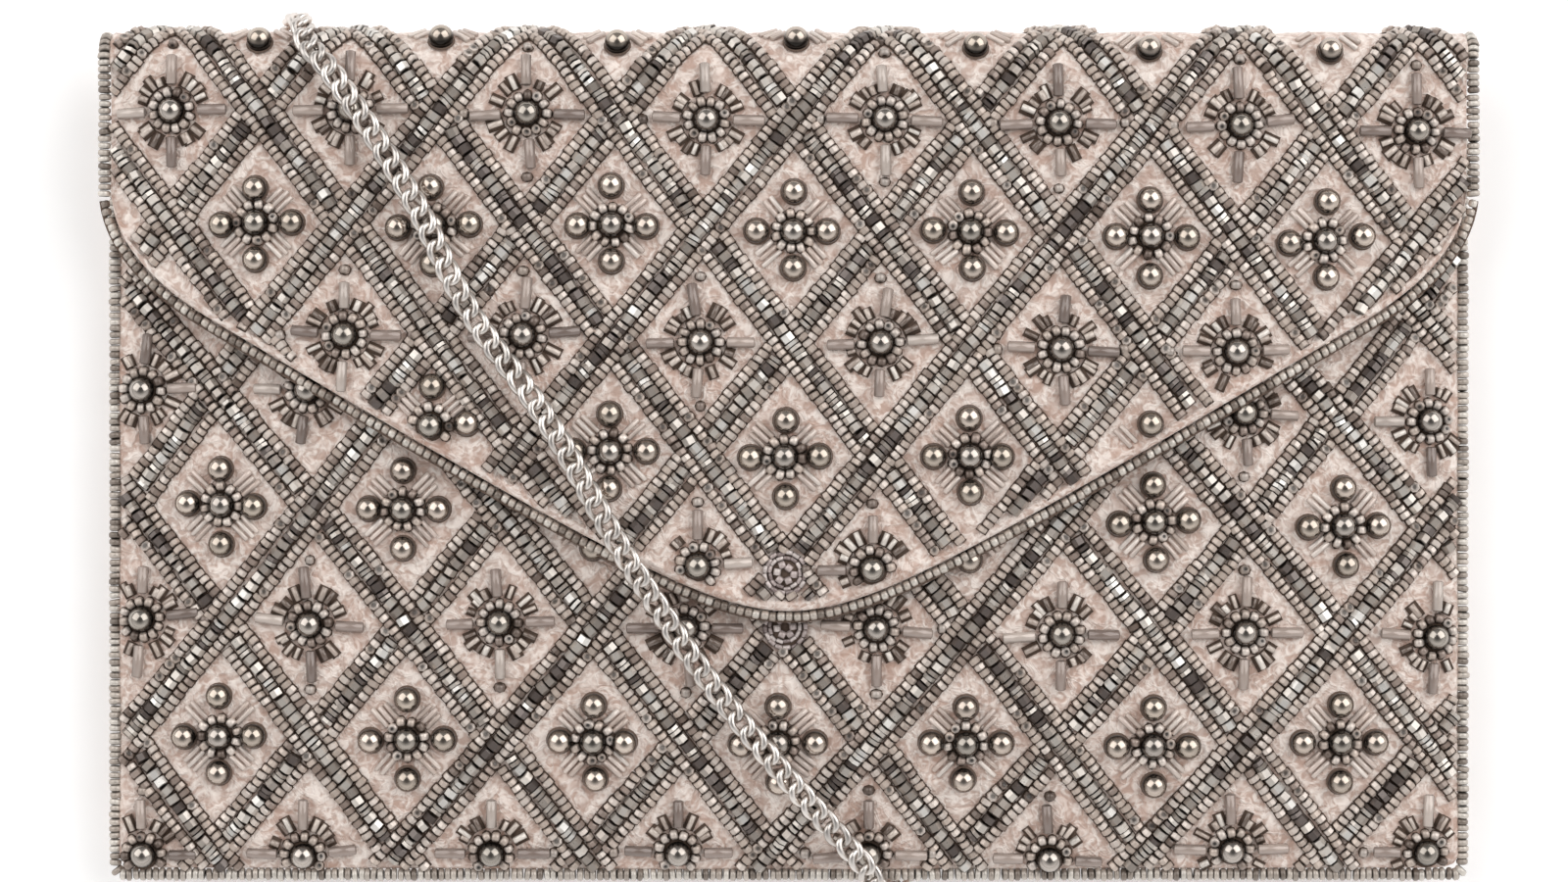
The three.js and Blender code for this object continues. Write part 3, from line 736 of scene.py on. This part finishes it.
SEED_MARGIN = 1.6
BUGLE_MARGIN = 2.4
RINGS = {"star": (12, 3.34), "cross": (11, 3.28)}  # seeds round the pearl, and the radius of their ring
RING_STRAY = 0.1
RING_GLOW = {"star": 1, "cross": 1.2}
TIP_SHARE = 0.5  # of the tips of the stars, those with a seed
TIP_OUT = 11.4, 12.1
TIP_FROM = 11  # seeds further than this from the pearl are the brownish ones at the tips of a star
TIP_GLOW = 0.7
SEED_SIZE = 0.88, 0.74, 0.88
SEED_LIFT = 0.62
SEED_STRAY = {"turn": 0.12, "lift": 0.06, "size": 0.06}
SEED_ON_END = math.pi / 2 - 0.3
SEED_ON_END_SHARE = 0.12
RAY_FROM = 4.7  # where the bugles of a star start, from the middle of its pearl
RAY_STRAY = 0.05
LONG_TO = 9.6, 10.8
LONG_RADIUS = 1.0
FAN_STEPS = 0.27, 0.42, 0.58, 0.73  # shares of a quarter turn
FAN_SHARE = 0.85
FAN_STRAY = 0.035
FAN_TO = 6.2, 7.6
FAN_RADIUS = 0.4, 0.66
PAIR_FROM = 3.9
PAIR_TO = 7.4, 8.4
PAIR_RADIUS = 0.45, 0.58
TWOS = -0.65, 0.65  # how far the bugles side by side stand from the line between the arms
THREES = -1.2, 0, 1.2
THREES_SHARE = 0.6
# The patches of stitches under the seeds, fans and pearls reach out past them: thread, and painted shade
# round the beads.
SEED_BED_SPREAD = 1.35
FAN_BED = 1.9, 1.12
FAN_BED_LIFT = 0.22
PEARL_BED_LIFT = 0.25
MOTIF_STRAY = 0.35
PEARL_STRAY = 0.25
pearl_profile = [(-0.93, 0.12), (-0.98, 0.2)]
pearl_profile += [(-math.cos(t), math.sin(t)) for t in np.radians([24, 40, 56, 72, 90, 108, 124, 140, 156])]
pearl_profile += [(0.98, 0.2), (0.93, 0.12)]
PEARL = turned(pearl_profile, 18)
SEED_BEAD = turned([(-0.7, 0.25), (-1, 0.6), (-0.6, 1), (0.6, 1), (1, 0.6), (0.7, 0.25)], 8)
BUGLE_BEAD = turned([(-1, 0.62), (-0.93, 1), (0.93, 1), (1, 0.62)], 8)
# Painted shade and painted reflection: pearls are dark on their lower flanks, where the beads and stitches
# beside them shade them and are mirrored in them.
pearl_painted_shade = np.clip((PEARL[0][:, 2] - 0.34) / 0.4, 0.03, 1)
# Painted shade: seeds dark towards their holes, bugles dark at their ends and along their flanks, the pairs
# of a cross only a little darker along their flanks.
seed_out = np.hypot(SEED_BEAD[0][:, 0], SEED_BEAD[0][:, 2])
seed_painted_shade = np.interp(seed_out, [0.25, 0.6, 1], [0.03, 0.6, 1])
bugle_painted_shade = np.where(np.abs(BUGLE_BEAD[0][:, 1]) > 0.98, 0.35, 0.5 + 0.5 * np.abs(BUGLE_BEAD[0][:, 2]))
pair_painted_shade = 0.75 + 0.25 * np.abs(BUGLE_BEAD[0][:, 2])
pewter_pearl = tinted("pewter_pearl", 0.95, 0.1, 0.15, 0.08)
bugle_glass = tinted("bugle_glass", 0.1, 0.1, 0.5, 0.25)
brown_thread_and_shade = stitched("brown_sewing_thread", colour(74, 58, 48), colour(126, 104, 90))
SEED_BED = patch([(math.cos(a), math.sin(a)) for a in np.radians(np.arange(0, 360, 45))])
PEARL_BED = patch([(math.cos(a), math.sin(a)) for a in np.radians(np.arange(0, 360, 20))])


def motif_middles(pattern, kind, half_width, rng):
    """Middles of the stars or crosses on the cloth, those at the sides drawn in."""
    across, up = pattern["pitch"]
    rows, shift = (range(-4, 5, 2), 0.5) if kind == "star" else (range(-3, 4, 2), 0)
    spots = [(column, row) for row in rows for column in range(-5, 6)]
    grid = np.array([[(column + shift) * across, row * up / 2] for column, row in spots])
    places = on_cloth(pattern, grid)
    for spot, by in pattern["moved"].items():
        if spot in spots:
            places[spots.index(spot)] += by
    places = places[np.abs(places[:, 0]) < half_width + SIDE_BEYOND]
    places[:, 0] = np.clip(places[:, 0], SIDE_MARGIN - half_width, half_width - SIDE_MARGIN)
    return places + rng.normal(0, MOTIF_STRAY, places.shape)


def ring_of(count, radius, rng):
    """Beads strung round a pearl: places and directions."""
    turn = (np.arange(count) + rng.uniform(0, 1)) / count * 2 * math.pi
    out = radius + rng.normal(0, RING_STRAY, count)
    return np.stack([out * np.cos(turn), out * np.sin(turn)], -1), turn + math.pi / 2


def ray(turn, near, far, aside, radius):
    """A bugle bead that points away from the pearl: its middle, direction and sizes."""
    middle = (near + far) / 2
    cos, sin = math.cos(turn), math.sin(turn)
    place = [middle * cos - aside * sin, middle * sin + aside * cos]
    return place, turn, [radius, (far - near) / 2, radius]


def star_rays(rng):
    """Four long bugles on the axes of a star and a fan of three or four short ones in each quarter."""
    rays = []
    for quarter in range(4):
        square = quarter * math.pi / 2
        lean = square + rng.normal(0, RAY_STRAY)
        rays.append(("long", *ray(lean, RAY_FROM, rng.uniform(*LONG_TO), 0, LONG_RADIUS)))
        for step in FAN_STEPS:
            if rng.random() < FAN_SHARE:
                lean = square + (step + rng.normal(0, FAN_STRAY)) * math.pi / 2
                far = rng.uniform(*FAN_TO)
                rays.append(("fan", *ray(lean, RAY_FROM, far, 0, rng.uniform(*FAN_RADIUS))))
    return rays


def cross_rays(rng):
    """Two or three thin bugles side by side between the arms of a cross."""
    rays = []
    for quarter in range(4):
        lean = (quarter + 0.5) * math.pi / 2 + rng.normal(0, RAY_STRAY)
        for aside in THREES if rng.random() < THREES_SHARE else TWOS:
            far = rng.uniform(*PAIR_TO)
            rays.append(("pair", *ray(lean, PAIR_FROM, far, aside, rng.uniform(*PAIR_RADIUS))))
    return rays


RAYS = {"star": star_rays, "cross": cross_rays}
pearls_on = {}
for panel, pattern, point, inside, half_width, seed in (
    ("flap", FLAP_PATTERN, flap_point, on_flap, FLAP_HALF_WIDTH, 11),
    ("front", FRONT_PATTERN, front_point, on_front, HALF_WIDTH, 29),
):
    rng = np.random.default_rng(seed)
    pearls, seeds, seed_turns, seed_glow, seed_rows = [], [], [], [], []
    bugles, bugle_kinds, bugle_turns, bugle_sizes = [], [], [], []
    for kind in ("star", "cross"):
        for middle in motif_middles(pattern, kind, half_width, rng):
            pearls.append([middle])
            places, turns = ring_of(*RINGS[kind], rng)
            if kind == "star":
                tips = np.arange(4)[rng.random(4) < TIP_SHARE] * math.pi / 2
                out = rng.uniform(*TIP_OUT, len(tips))
                places = np.vstack([places, np.stack([out * np.cos(tips), out * np.sin(tips)], -1)])
                turns = np.append(turns, tips)
            else:
                pearls.append(middle + SATELLITES + rng.normal(0, PEARL_STRAY, (4, 2)))
            seeds.append(places + middle)
            seed_turns.append(turns)
            seed_rows.append(np.full(len(places), middle[1]))
            seed_glow.append(np.where(np.hypot(*places.T) > TIP_FROM, TIP_GLOW, RING_GLOW[kind]))
            for bugle_kind, place, turn, size in RAYS[kind](rng):
                bugles.append(middle + place)
                bugle_kinds.append(bugle_kind)
                bugle_turns.append(turn)
                bugle_sizes.append(size)
    spots = np.concatenate(pearls)
    ringed = np.concatenate([np.full(len(group), len(group) == 1) for group in pearls])
    kept = inside(spots, EDGE_MARGIN)
    kept &= (spots[:, 1] < TOP - FOLD_MARGIN) & (spots[:, 1] > BOTTOM + SEAM_MARGIN)
    spots, ringed = spots[kept], ringed[kept]
    pearls_on[panel] = spots
    count = len(spots)
    flat = np.zeros(count)
    turns = rng.uniform(-PEARL_TURN, PEARL_TURN, count)
    seats = seat(point, *spots.T, turns, flat + PEARL_LIFT, flat, flat)
    tints = tints_of(rng, PEWTER, PEWTER_SHARES, count)
    tints = np.where(ringed[:, None], tints, ARM_GLOW * tints * PEWTER_ROSE)
    sew(f"{panel}_pearls", PEARL, seats, np.full((count, 3), PEARL_RADIUS), tints, pearl_painted_shade, pewter_pearl)
    # Stitches round each pearl: thread, and painted shade, a dark ring round the middle pearls and a brown
    # one round the arms.
    for bed_name, of_kind, spread, stitches in (
        ("ringed_pearl_thread", ringed, 0.5, thread_and_shade),
        ("arm_pearl_thread", ~ringed, 0.22, brown_thread_and_shade),
    ):
        sizes = np.full((of_kind.sum(), 2), PEARL_RADIUS + spread)
        stitch_bed(f"{panel}_{bed_name}", PEARL_BED, point, spots[of_kind], 0, sizes, PEARL_BED_LIFT,
                   stitches)

    kept = inside(np.concatenate(seeds), SEED_MARGIN) & (np.concatenate(seed_rows) < TOP - FOLD_MARGIN)
    spots, turns, glow = (np.concatenate(part)[kept] for part in (seeds, seed_turns, seed_glow))
    count = len(spots)
    on_end = np.where(rng.random(count) < SEED_ON_END_SHARE, SEED_ON_END, 0)
    seats = seat(point, *spots.T, turns + rng.normal(0, SEED_STRAY["turn"], count),
                 rng.normal(SEED_LIFT, SEED_STRAY["lift"], count), rng.normal(0, ROLL_STRAY, count),
                 on_end + rng.normal(0, TILT_STRAY, count))
    sizes = np.array(SEED_SIZE) * rng.normal(1, SEED_STRAY["size"], (count, 3))
    tints = tints_of(rng, TAUPE, SEED_SHARES, count) * glow[:, None]
    sew(f"{panel}_motif_seeds", SEED_BEAD, seats, sizes, tints, seed_painted_shade, seed_glass)
    # Dark stitches under the seeds: thread, and painted shade between them.
    stitch_bed(f"{panel}_seed_thread_and_shade", SEED_BED, point, spots, turns, SEED_BED_SPREAD * sizes[:, :2],
               BED_LIFT, thread_and_shade)

    kept = inside(np.array(bugles), BUGLE_MARGIN) & (np.array(bugles)[:, 1] < TOP + FOLD_BEYOND)
    sewn_on = (bugles, bugle_turns, bugle_sizes, bugle_kinds)
    spots, turns, sizes, kinds = (np.array(part)[kept] for part in sewn_on)
    for bugle_kind, lift, dark in (
        ("long", 0.8, bugle_painted_shade),
        ("fan", 0.8, bugle_painted_shade),
        ("pair", 0.4, pair_painted_shade),
    ):
        of_kind = kinds == bugle_kind
        count = of_kind.sum()
        seats = seat(point, *spots[of_kind].T, turns[of_kind], sizes[of_kind, 0] * lift,
                     rng.normal(0, ROLL_STRAY, count), np.zeros(count))
        tints = tints_of(rng, BUGLE_TINTS[bugle_kind], BUGLE_SHARES, count)
        sew(f"{panel}_{bugle_kind}_bugles", BUGLE_BEAD, seats, sizes[of_kind], tints, dark, bugle_glass)
        if bugle_kind == "fan":
            # Dark stitches under the fans: thread, and painted shade between the bugles.
            stitch_bed(f"{panel}_fan_thread", THREAD_BED, point, spots[of_kind], turns[of_kind],
                       sizes[of_kind, :2] * FAN_BED, FAN_BED_LIFT, thread_and_shade)

# Rosettes: a small coil of fine bugles round a knot of mauve seeds, at the flap's point and just below it.
# Each covers the place where two bands meet over the hidden magnet.
MAUVE = [colour(150, 133, 130), colour(196, 180, 176), colour(226, 213, 208)]
MAUVE_SHARES = [0.25, 0.4, 0.35]
ROSETTE_RINGS = [  # beads, radius of the ring, half sizes of a bead
    (6, 1.45, (0.72, 0.62, 0.72)),
    (13, 2.75, (0.42, 0.66, 0.42)),
    (16, 3.65, (0.46, 0.7, 0.46)),
]
ROSETTE_SUNK = 0.9
rng = np.random.default_rng(13)
for panel, point in (("flap", flap_point), ("front", front_point)):
    places, turns, sizes = [], [], []
    for beads, radius, size in ROSETTE_RINGS:
        ring, turn = ring_of(beads, radius, rng)
        places.append(ring + ROSETTES[panel])
        turns.append(turn)
        sizes.append(np.tile(size, (beads, 1)))
    spots = np.concatenate(places)
    sizes = np.concatenate(sizes)
    count = len(spots)
    seats = seat(point, *spots.T, np.concatenate(turns), sizes[:, 2] * ROSETTE_SUNK,
                 rng.normal(0, ROLL_STRAY, count), np.zeros(count))
    tints = tints_of(rng, MAUVE, MAUVE_SHARES, count)
    sew(f"{panel}_rosette", BUGLE_BEAD, seats, sizes, tints, bugle_painted_shade, bugle_glass)
    # A brown patch of stitches under the rosette: thread, and painted shade at its middle.
    stitch_bed(f"{panel}_rosette_thread_and_shade", PEARL_BED, point, np.array([ROSETTES[panel]]), 0,
               np.full((1, 2), ROSETTE_REACH), BED_LIFT, brown_thread_and_shade)

# Edge strings: one string of flat round beads on each seam of the pouch and down the sides of the flap.
# Smaller seeds follow the slanting edge of the flap, with a row of brown stitches under them, which also
# paint a thin shadow below the edge.
RONDELLE = turned([(-1, 0.7), (-0.6, 0.96), (0, 1), (0.6, 0.96), (1, 0.7)], 10)
# Painted shade: rondelles dark at their ends, for the gaps between them on a string.
rondelle_painted_shade = np.where(np.abs(RONDELLE[0][:, 1]) > 0.9, 0.25, 1)
CORNER_TURN = 1.6  # radius in which the bottom string turns up at the corners
EDGE_TINTS = [colour(138, 126, 116), colour(178, 166, 155), colour(206, 195, 184), colour(226, 218, 208)]
EDGE_SHARES = [0.1, 0.22, 0.42, 0.26]
STRING_RISE = 1.5  # the strings are sewn to the upper edge of the seam
STRING_PITCH = 1.22
STRING_BEAD = 1.2, 0.58, 1.2
STRING_STRAY = 0.06
STRING_SIZE_STRAY = 0.04
rng = np.random.default_rng(17)


def along_path(path, pitch):
    """Evenly spaced places along a path, with the direction at each."""
    steps = np.linalg.norm(np.diff(path, axis=0), axis=1)
    run = np.concatenate([[0], np.cumsum(steps)])
    count = int(run[-1] / pitch)
    stops = (np.arange(count) + 0.5) * run[-1] / count

    def at(stop):
        return np.stack([np.interp(stop, run, path[:, axis]) for axis in range(3)], -1)

    step = 0.4
    return at(stops), unit(at(stops + step) - at(stops - step))


def string(name, path, rng, pitch=STRING_PITCH, size=STRING_BEAD, shape=RONDELLE, dark=rondelle_painted_shade):
    """A string of beads along a path."""
    places, along = along_path(path, pitch)
    count = len(places)
    along = unit(along + rng.normal(0, STRING_STRAY, (count, 3)))
    side = unit(np.cross(along, [0.0, 0.0, 1.0]))
    seats = (places + rng.normal(0, STRING_STRAY, (count, 3)), side, along, np.cross(side, along))
    sizes = np.array(size) * rng.normal(1, STRING_SIZE_STRAY, (count, 3))
    tints = tints_of(rng, EDGE_TINTS, EDGE_SHARES, count)
    piece = sew(name, shape, seats, sizes, tints, dark, seed_glass)
    return piece


for node in ("seam_edging_left", "seam_edging_right", "seam_edging_bottom"):
    low, high = (np.array(corner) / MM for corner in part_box(node))
    middle = (low + high) / 2
    if node == "seam_edging_bottom":
        quarter = np.radians([15, 40, 65, 90])[:, None]
        turn_up = middle + [high[0] - middle[0], CORNER_TURN, 0]
        turn_up = turn_up + CORNER_TURN * np.hstack([np.cos(quarter), -np.sin(quarter), 0 * quarter])
        ends = np.vstack([turn_up * [-1, 1, 1], turn_up[::-1]])
    else:
        ends = np.array([[middle[0], low[1], middle[2]], [middle[0], high[1], middle[2]]])
    ends = ends + [0, 0, STRING_RISE]
    beads = string(f"{node}_beads", ends, rng)
    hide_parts(node)

RIM_OUT = 1.6  # from the cloth's edge to the middle of the string
RIM_PITCH = 1.48
RIM_SEED = 0.86, 0.72, 0.86
RIM_STEP = 0.05
SIDE_OUT = 1.35
SIDE_BELOW = 1.4  # the side strings start this far below the place where the edge meets the sides
SIDE_TURN = 1.7  # how far they go round the top fold
STITCH_OUT = 0.7  # the stitches under the string, from its middle
STITCH_DROP = 0.6
STITCH_WIDE = 0.45
STITCH_LONG = 1.0
rim_x = np.concatenate([-turn_columns[::-1], np.linspace(-FLAP_TURN_X, FLAP_TURN_X, 160), turn_columns])
rim_y = flap_edge(rim_x)
rim_z = flap_height(rim_x, rim_y) - WALL
rim_slope = (flap_edge(rim_x + RIM_STEP) - flap_edge(rim_x - RIM_STEP)) / (2 * RIM_STEP)
rim_out = unit(np.stack([rim_slope, -np.ones(len(rim_x)), np.zeros(len(rim_x))], -1))
rim_path = np.stack([rim_x, rim_y, rim_z], -1) + RIM_OUT * rim_out
slant_beads = string("flap_edge_seeds", rim_path[1:-1], rng, RIM_PITCH, RIM_SEED, SEED_BEAD, seed_painted_shade)
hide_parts("flap_edging")
# Brown stitches just outside the string: thread, and painted shadow where the flap's edge shades the front.
stitch_path = rim_path + STITCH_OUT * rim_out - [0, 0, STITCH_DROP]
spots, along = along_path(stitch_path[1:-1], 2 * STITCH_LONG)
up = np.tile([0.0, 0.0, 1.0], (len(spots), 1))
sew("flap_edge_thread", THREAD_BED, (spots, np.cross(along, up), along, up),
    np.tile([STITCH_WIDE, STITCH_LONG, PLY], (len(spots), 1)), NO_TINT, 1, brown_thread_and_shade)
side_radius, side_fold, _ = fold_at(FLAP_HALF_WIDTH)
side_v = np.linspace(FLAP_TURN_Y - SIDE_BELOW, side_fold + side_radius * SIDE_TURN, 40)
side_path = flap_point(0 * side_v + FLAP_HALF_WIDTH, side_v, WALL / 4) + [SIDE_OUT, 0, 0]
string("flap_side_beads_left", side_path[::-1] * [-1, 1, 1], rng)
string("flap_side_beads_right", side_path, rng)

# Chain strap: a flat curb chain of bright silver wire, from a tab on the back over the fold,
# slantwise across the front, under the bottom edge and back up to the second tab.
LINK_LONG = 2.33
LINK_WIDE = 1.65
LINK_TWIST = 0.7
WIRE = 0.63
FLATTENED = 1.0  # the faces of a curb chain are ground flat
LINK_PITCH = 3.4
LINK_LEAN = 0.08
WIRE_STEPS = 20
WIRE_SIDES = 8
BEAD_TOP = 2.2  # how high the beads stand that the chain lies on
SATIN_TOP = 0.7  # and what it keeps clear of plain satin
PEARL_TOP = PEARL_LIFT + PEARL_RADIUS + PUFF
HALF_LINK = 1.42
PEARL_ROOM = 2  # the chain rises this far before it comes to a pearl
EDGE_ROOM = 3  # and this far before it comes to the flap's edge
PLAN_STEP = 2.5
FOLD_X = -86  # where the chain lies on the front side of the fold
FOLD_SLANT = 9  # and how far it has moved sideways on the back side
TAB_LEAD = 3  # the chain leaves a tab straight for this far
CORE = -72, 67, 8  # the links face away from a level line through the bag: its ends and its height
SILVER = [colour(214, 207, 201), colour(228, 221, 215)]
SILVER_SHARES = [0.3, 0.7]
TAB_X, TAB_Y, TAB_WIDE, TAB_LONG, TAB_THICK = 101, 55, 8, 9, 3
CHAIN_FRONT = [(-85, 71.5), (-81.5, 67), (-68.2, 46.3), (-57.6, 25.4), (-43.4, 5.5),
               (-29.2, -19.3), (-15.2, -40.7), (-0.9, -58.6), (14.2, -76)]
CHAIN_UNDER = [(16, -79.6, 14), (17.4, -81.8, 10.2), (18.6, -82, 6.2), (20.2, -80, 3), (22.8, -76, 1.8),
               (40, -68.5, 1.6), (75, -63, 1.6), (99, -45, 1.6), (107, -20, 1.6), (107, 18, 1.6),
               (103.5, 40, 2)]


def curve_through(points):
    """A smooth curve through points, without overshoot where they are close together."""
    points = np.asarray(points, float)
    padded = np.vstack([2 * points[0] - points[1], points, 2 * points[-1] - points[-2]])

    def between(p, q, start, end, t):
        return (p * (end - t) + q * (t - start)) / (end - start)

    fine = []
    for a, b, c, d in zip(padded, padded[1:], padded[2:], padded[3:]):
        knots = np.cumsum([0] + [np.linalg.norm(q - p) ** 0.5 for p, q in ((a, b), (b, c), (c, d))])
        t = np.linspace(knots[1], knots[2], 20, endpoint=False)[:, None]
        ab = between(a, b, knots[0], knots[1], t)
        bc = between(b, c, knots[1], knots[2], t)
        cd = between(c, d, knots[2], knots[3], t)
        abc = between(ab, bc, knots[0], knots[2], t)
        bcd = between(bc, cd, knots[1], knots[3], t)
        fine.append(between(abc, bcd, knots[1], knots[2], t))
    return np.vstack([*fine, points[-1:]])


def window(values):
    """Each value with its two neighbours on either side."""
    return np.lib.stride_tricks.sliding_window_view(np.pad(values, 2, "edge"), 5)


def tab_end(side):
    """Where the chain goes into a tab."""
    y = TAB_Y - side * TAB_LONG / 2
    return np.array([side * TAB_X, y, back_height(side * TAB_X, y) - GAP - TAB_THICK / 2])


plan = curve_through([(x, y, 0) for x, y in CHAIN_FRONT])
plan, _ = along_path(plan, PLAN_STEP)
chain_x, chain_y = plan[:, 0], plan[:, 1]
chain_on_flap = chain_y > flap_edge(chain_x) - EDGE_ROOM
lie = np.where(chain_on_flap, flap_height(chain_x, chain_y), front_height(chain_x, chain_y)) + BEAD_TOP
for panel, here in (("flap", chain_on_flap), ("front", ~chain_on_flap)):
    apart = np.linalg.norm(plan[:, None, :2] - pearls_on[panel][None], axis=-1).min(axis=1)
    lie = np.where(here & (apart < PEARL_RADIUS + PEARL_ROOM), lie - BEAD_TOP + PEARL_TOP, lie)
lie = lie + HALF_LINK
eased = window(window(lie).max(axis=1)).mean(axis=1)
chain_front = np.stack([chain_x, chain_y, np.maximum(eased, lie)], -1)
fold_degrees = np.arange(170, 29, -20)
fold_x = FOLD_X - FOLD_SLANT * fold_degrees / 180
fold_radius, fold_y, fold_z = fold_at(fold_x)
fold_radius = fold_radius + HALF_LINK + BEAD_TOP + (SATIN_TOP - BEAD_TOP) * fold_degrees / 180
chain_fold = np.stack([fold_x, fold_y + fold_radius * np.sin(np.radians(fold_degrees)),
                       fold_z + fold_radius * np.cos(np.radians(fold_degrees))], -1)
left_end, right_end = tab_end(-1), tab_end(1)
chain_path = curve_through(np.vstack([
    left_end + [0, GAP, 0], left_end + [0, TAB_LEAD, 0], chain_fold, chain_front,
    CHAIN_UNDER, right_end - [0, TAB_LEAD, 0], right_end - [0, GAP, 0]]))
link_middle, link_along = along_path(chain_path, LINK_PITCH)
count = len(link_middle)
core = np.stack([link_middle[:, 0], np.clip(link_middle[:, 1], *CORE[:2]), np.full(count, CORE[2])], -1)
link_up = link_middle - core
link_up = unit(link_up - np.sum(link_up * link_along, axis=1)[:, None] * link_along)
rng = np.random.default_rng(23)
link_up, link_side = swing(link_up, np.cross(link_up, link_along), rng.normal(0, LINK_LEAN, count))
wire_turn = np.arange(WIRE_STEPS) / WIRE_STEPS * 2 * math.pi
wire_twist = LINK_TWIST * np.sin(2 * wire_turn)
wire_line = np.stack([LINK_WIDE * np.sin(wire_turn), LINK_LONG * np.cos(wire_turn), wire_twist], -1)
wire_along = unit(np.roll(wire_line, -1, 0) - np.roll(wire_line, 1, 0))
wire_side = unit(np.cross(wire_along, [0.0, 0.0, 1.0]))
wire_up = np.cross(wire_side, wire_along)
around = np.arange(WIRE_SIDES)[None, :, None] / WIRE_SIDES * 2 * math.pi
wire_round = wire_side[:, None] * np.cos(around) + wire_up[:, None] * np.sin(around)
link_points = wire_line[:, None] + WIRE * wire_round
link_points[..., 2] = np.clip(link_points[..., 2], -FLATTENED, FLATTENED)
link_faces = []
for step in range(WIRE_STEPS):
    here, there = step * WIRE_SIDES, (step + 1) % WIRE_STEPS * WIRE_SIDES
    for side in range(WIRE_SIDES):
        beside = (side + 1) % WIRE_SIDES
        link_faces.append([here + side, here + beside, there + beside, there + side])
silver = tinted("chain_silver_wire", 1.0, 0.26, 0.0, 0.12)
chain = sew("chain_links", (link_points.reshape(-1, 3), link_faces),
            (link_middle, link_side, link_along, link_up), np.ones((count, 3)),
            tints_of(rng, SILVER, SILVER_SHARES, count), 1, silver)
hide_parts("chain_strap")

# Strap tabs: small folded loops of the plain satin, sewn flat to the back just below the fold.
# Each takes the last link of the chain; they don't show from the front.
TAB_STEPS = 17
TAB_TRIM = 0.1  # between the loop and the top of the solid
TAB_PLUMP = 0.5  # how far the underside of a loop swells
TAB_ROUNDING = 6
TAB_BULGE = 0.5
for name, side in (("strap_tab_left", -1), ("strap_tab_right", 1)):
    shares = np.linspace(-0.5, 0.5, TAB_STEPS)
    tab_x, tab_y = np.meshgrid(side * TAB_X + shares * TAB_WIDE, TAB_Y + shares * TAB_LONG)
    tab_z = back_height(tab_x, tab_y) - GAP - TAB_TRIM
    rounding = np.minimum(1, TAB_ROUNDING * (0.5 - np.abs(shares)))
    swell = TAB_PLUMP * rounding[:, None] * rounding[None, :]
    tab_top = np.stack([tab_x, tab_y, tab_z], -1)
    tab_low = np.stack([tab_x, tab_y, tab_z - (TAB_THICK - TAB_PLUMP - TAB_TRIM) - swell], -1)
    tab = shell(f"{name}_loop", tab_top, tab_low, TAB_BULGE, satin(f"{name}_satin"))
    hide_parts(name)
    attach(tab, "root")

# Magnet snap: a flat nickel disc set between the flap and the front panel, hidden when the bag is shut.
# The CAD disc is kept and gets a brushed finish.
nickel = Finish(bpy.data.materials.new("snap_nickel"))
brushed = nickel.node("ShaderNodeTexNoise", {}, {"Scale": 2400.0, "Detail": 3.0})
nickel.feed(nickel.surface, {
    "Base Color": nickel.mix(brushed, colour(150, 150, 148), colour(196, 195, 192)),
    "Roughness": 0.22 + 0.2 * brushed,
    "Metallic": 1.0,
})
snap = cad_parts["magnet_snap"]
snap.data.materials.clear()
snap.data.materials.append(nickel.owner)
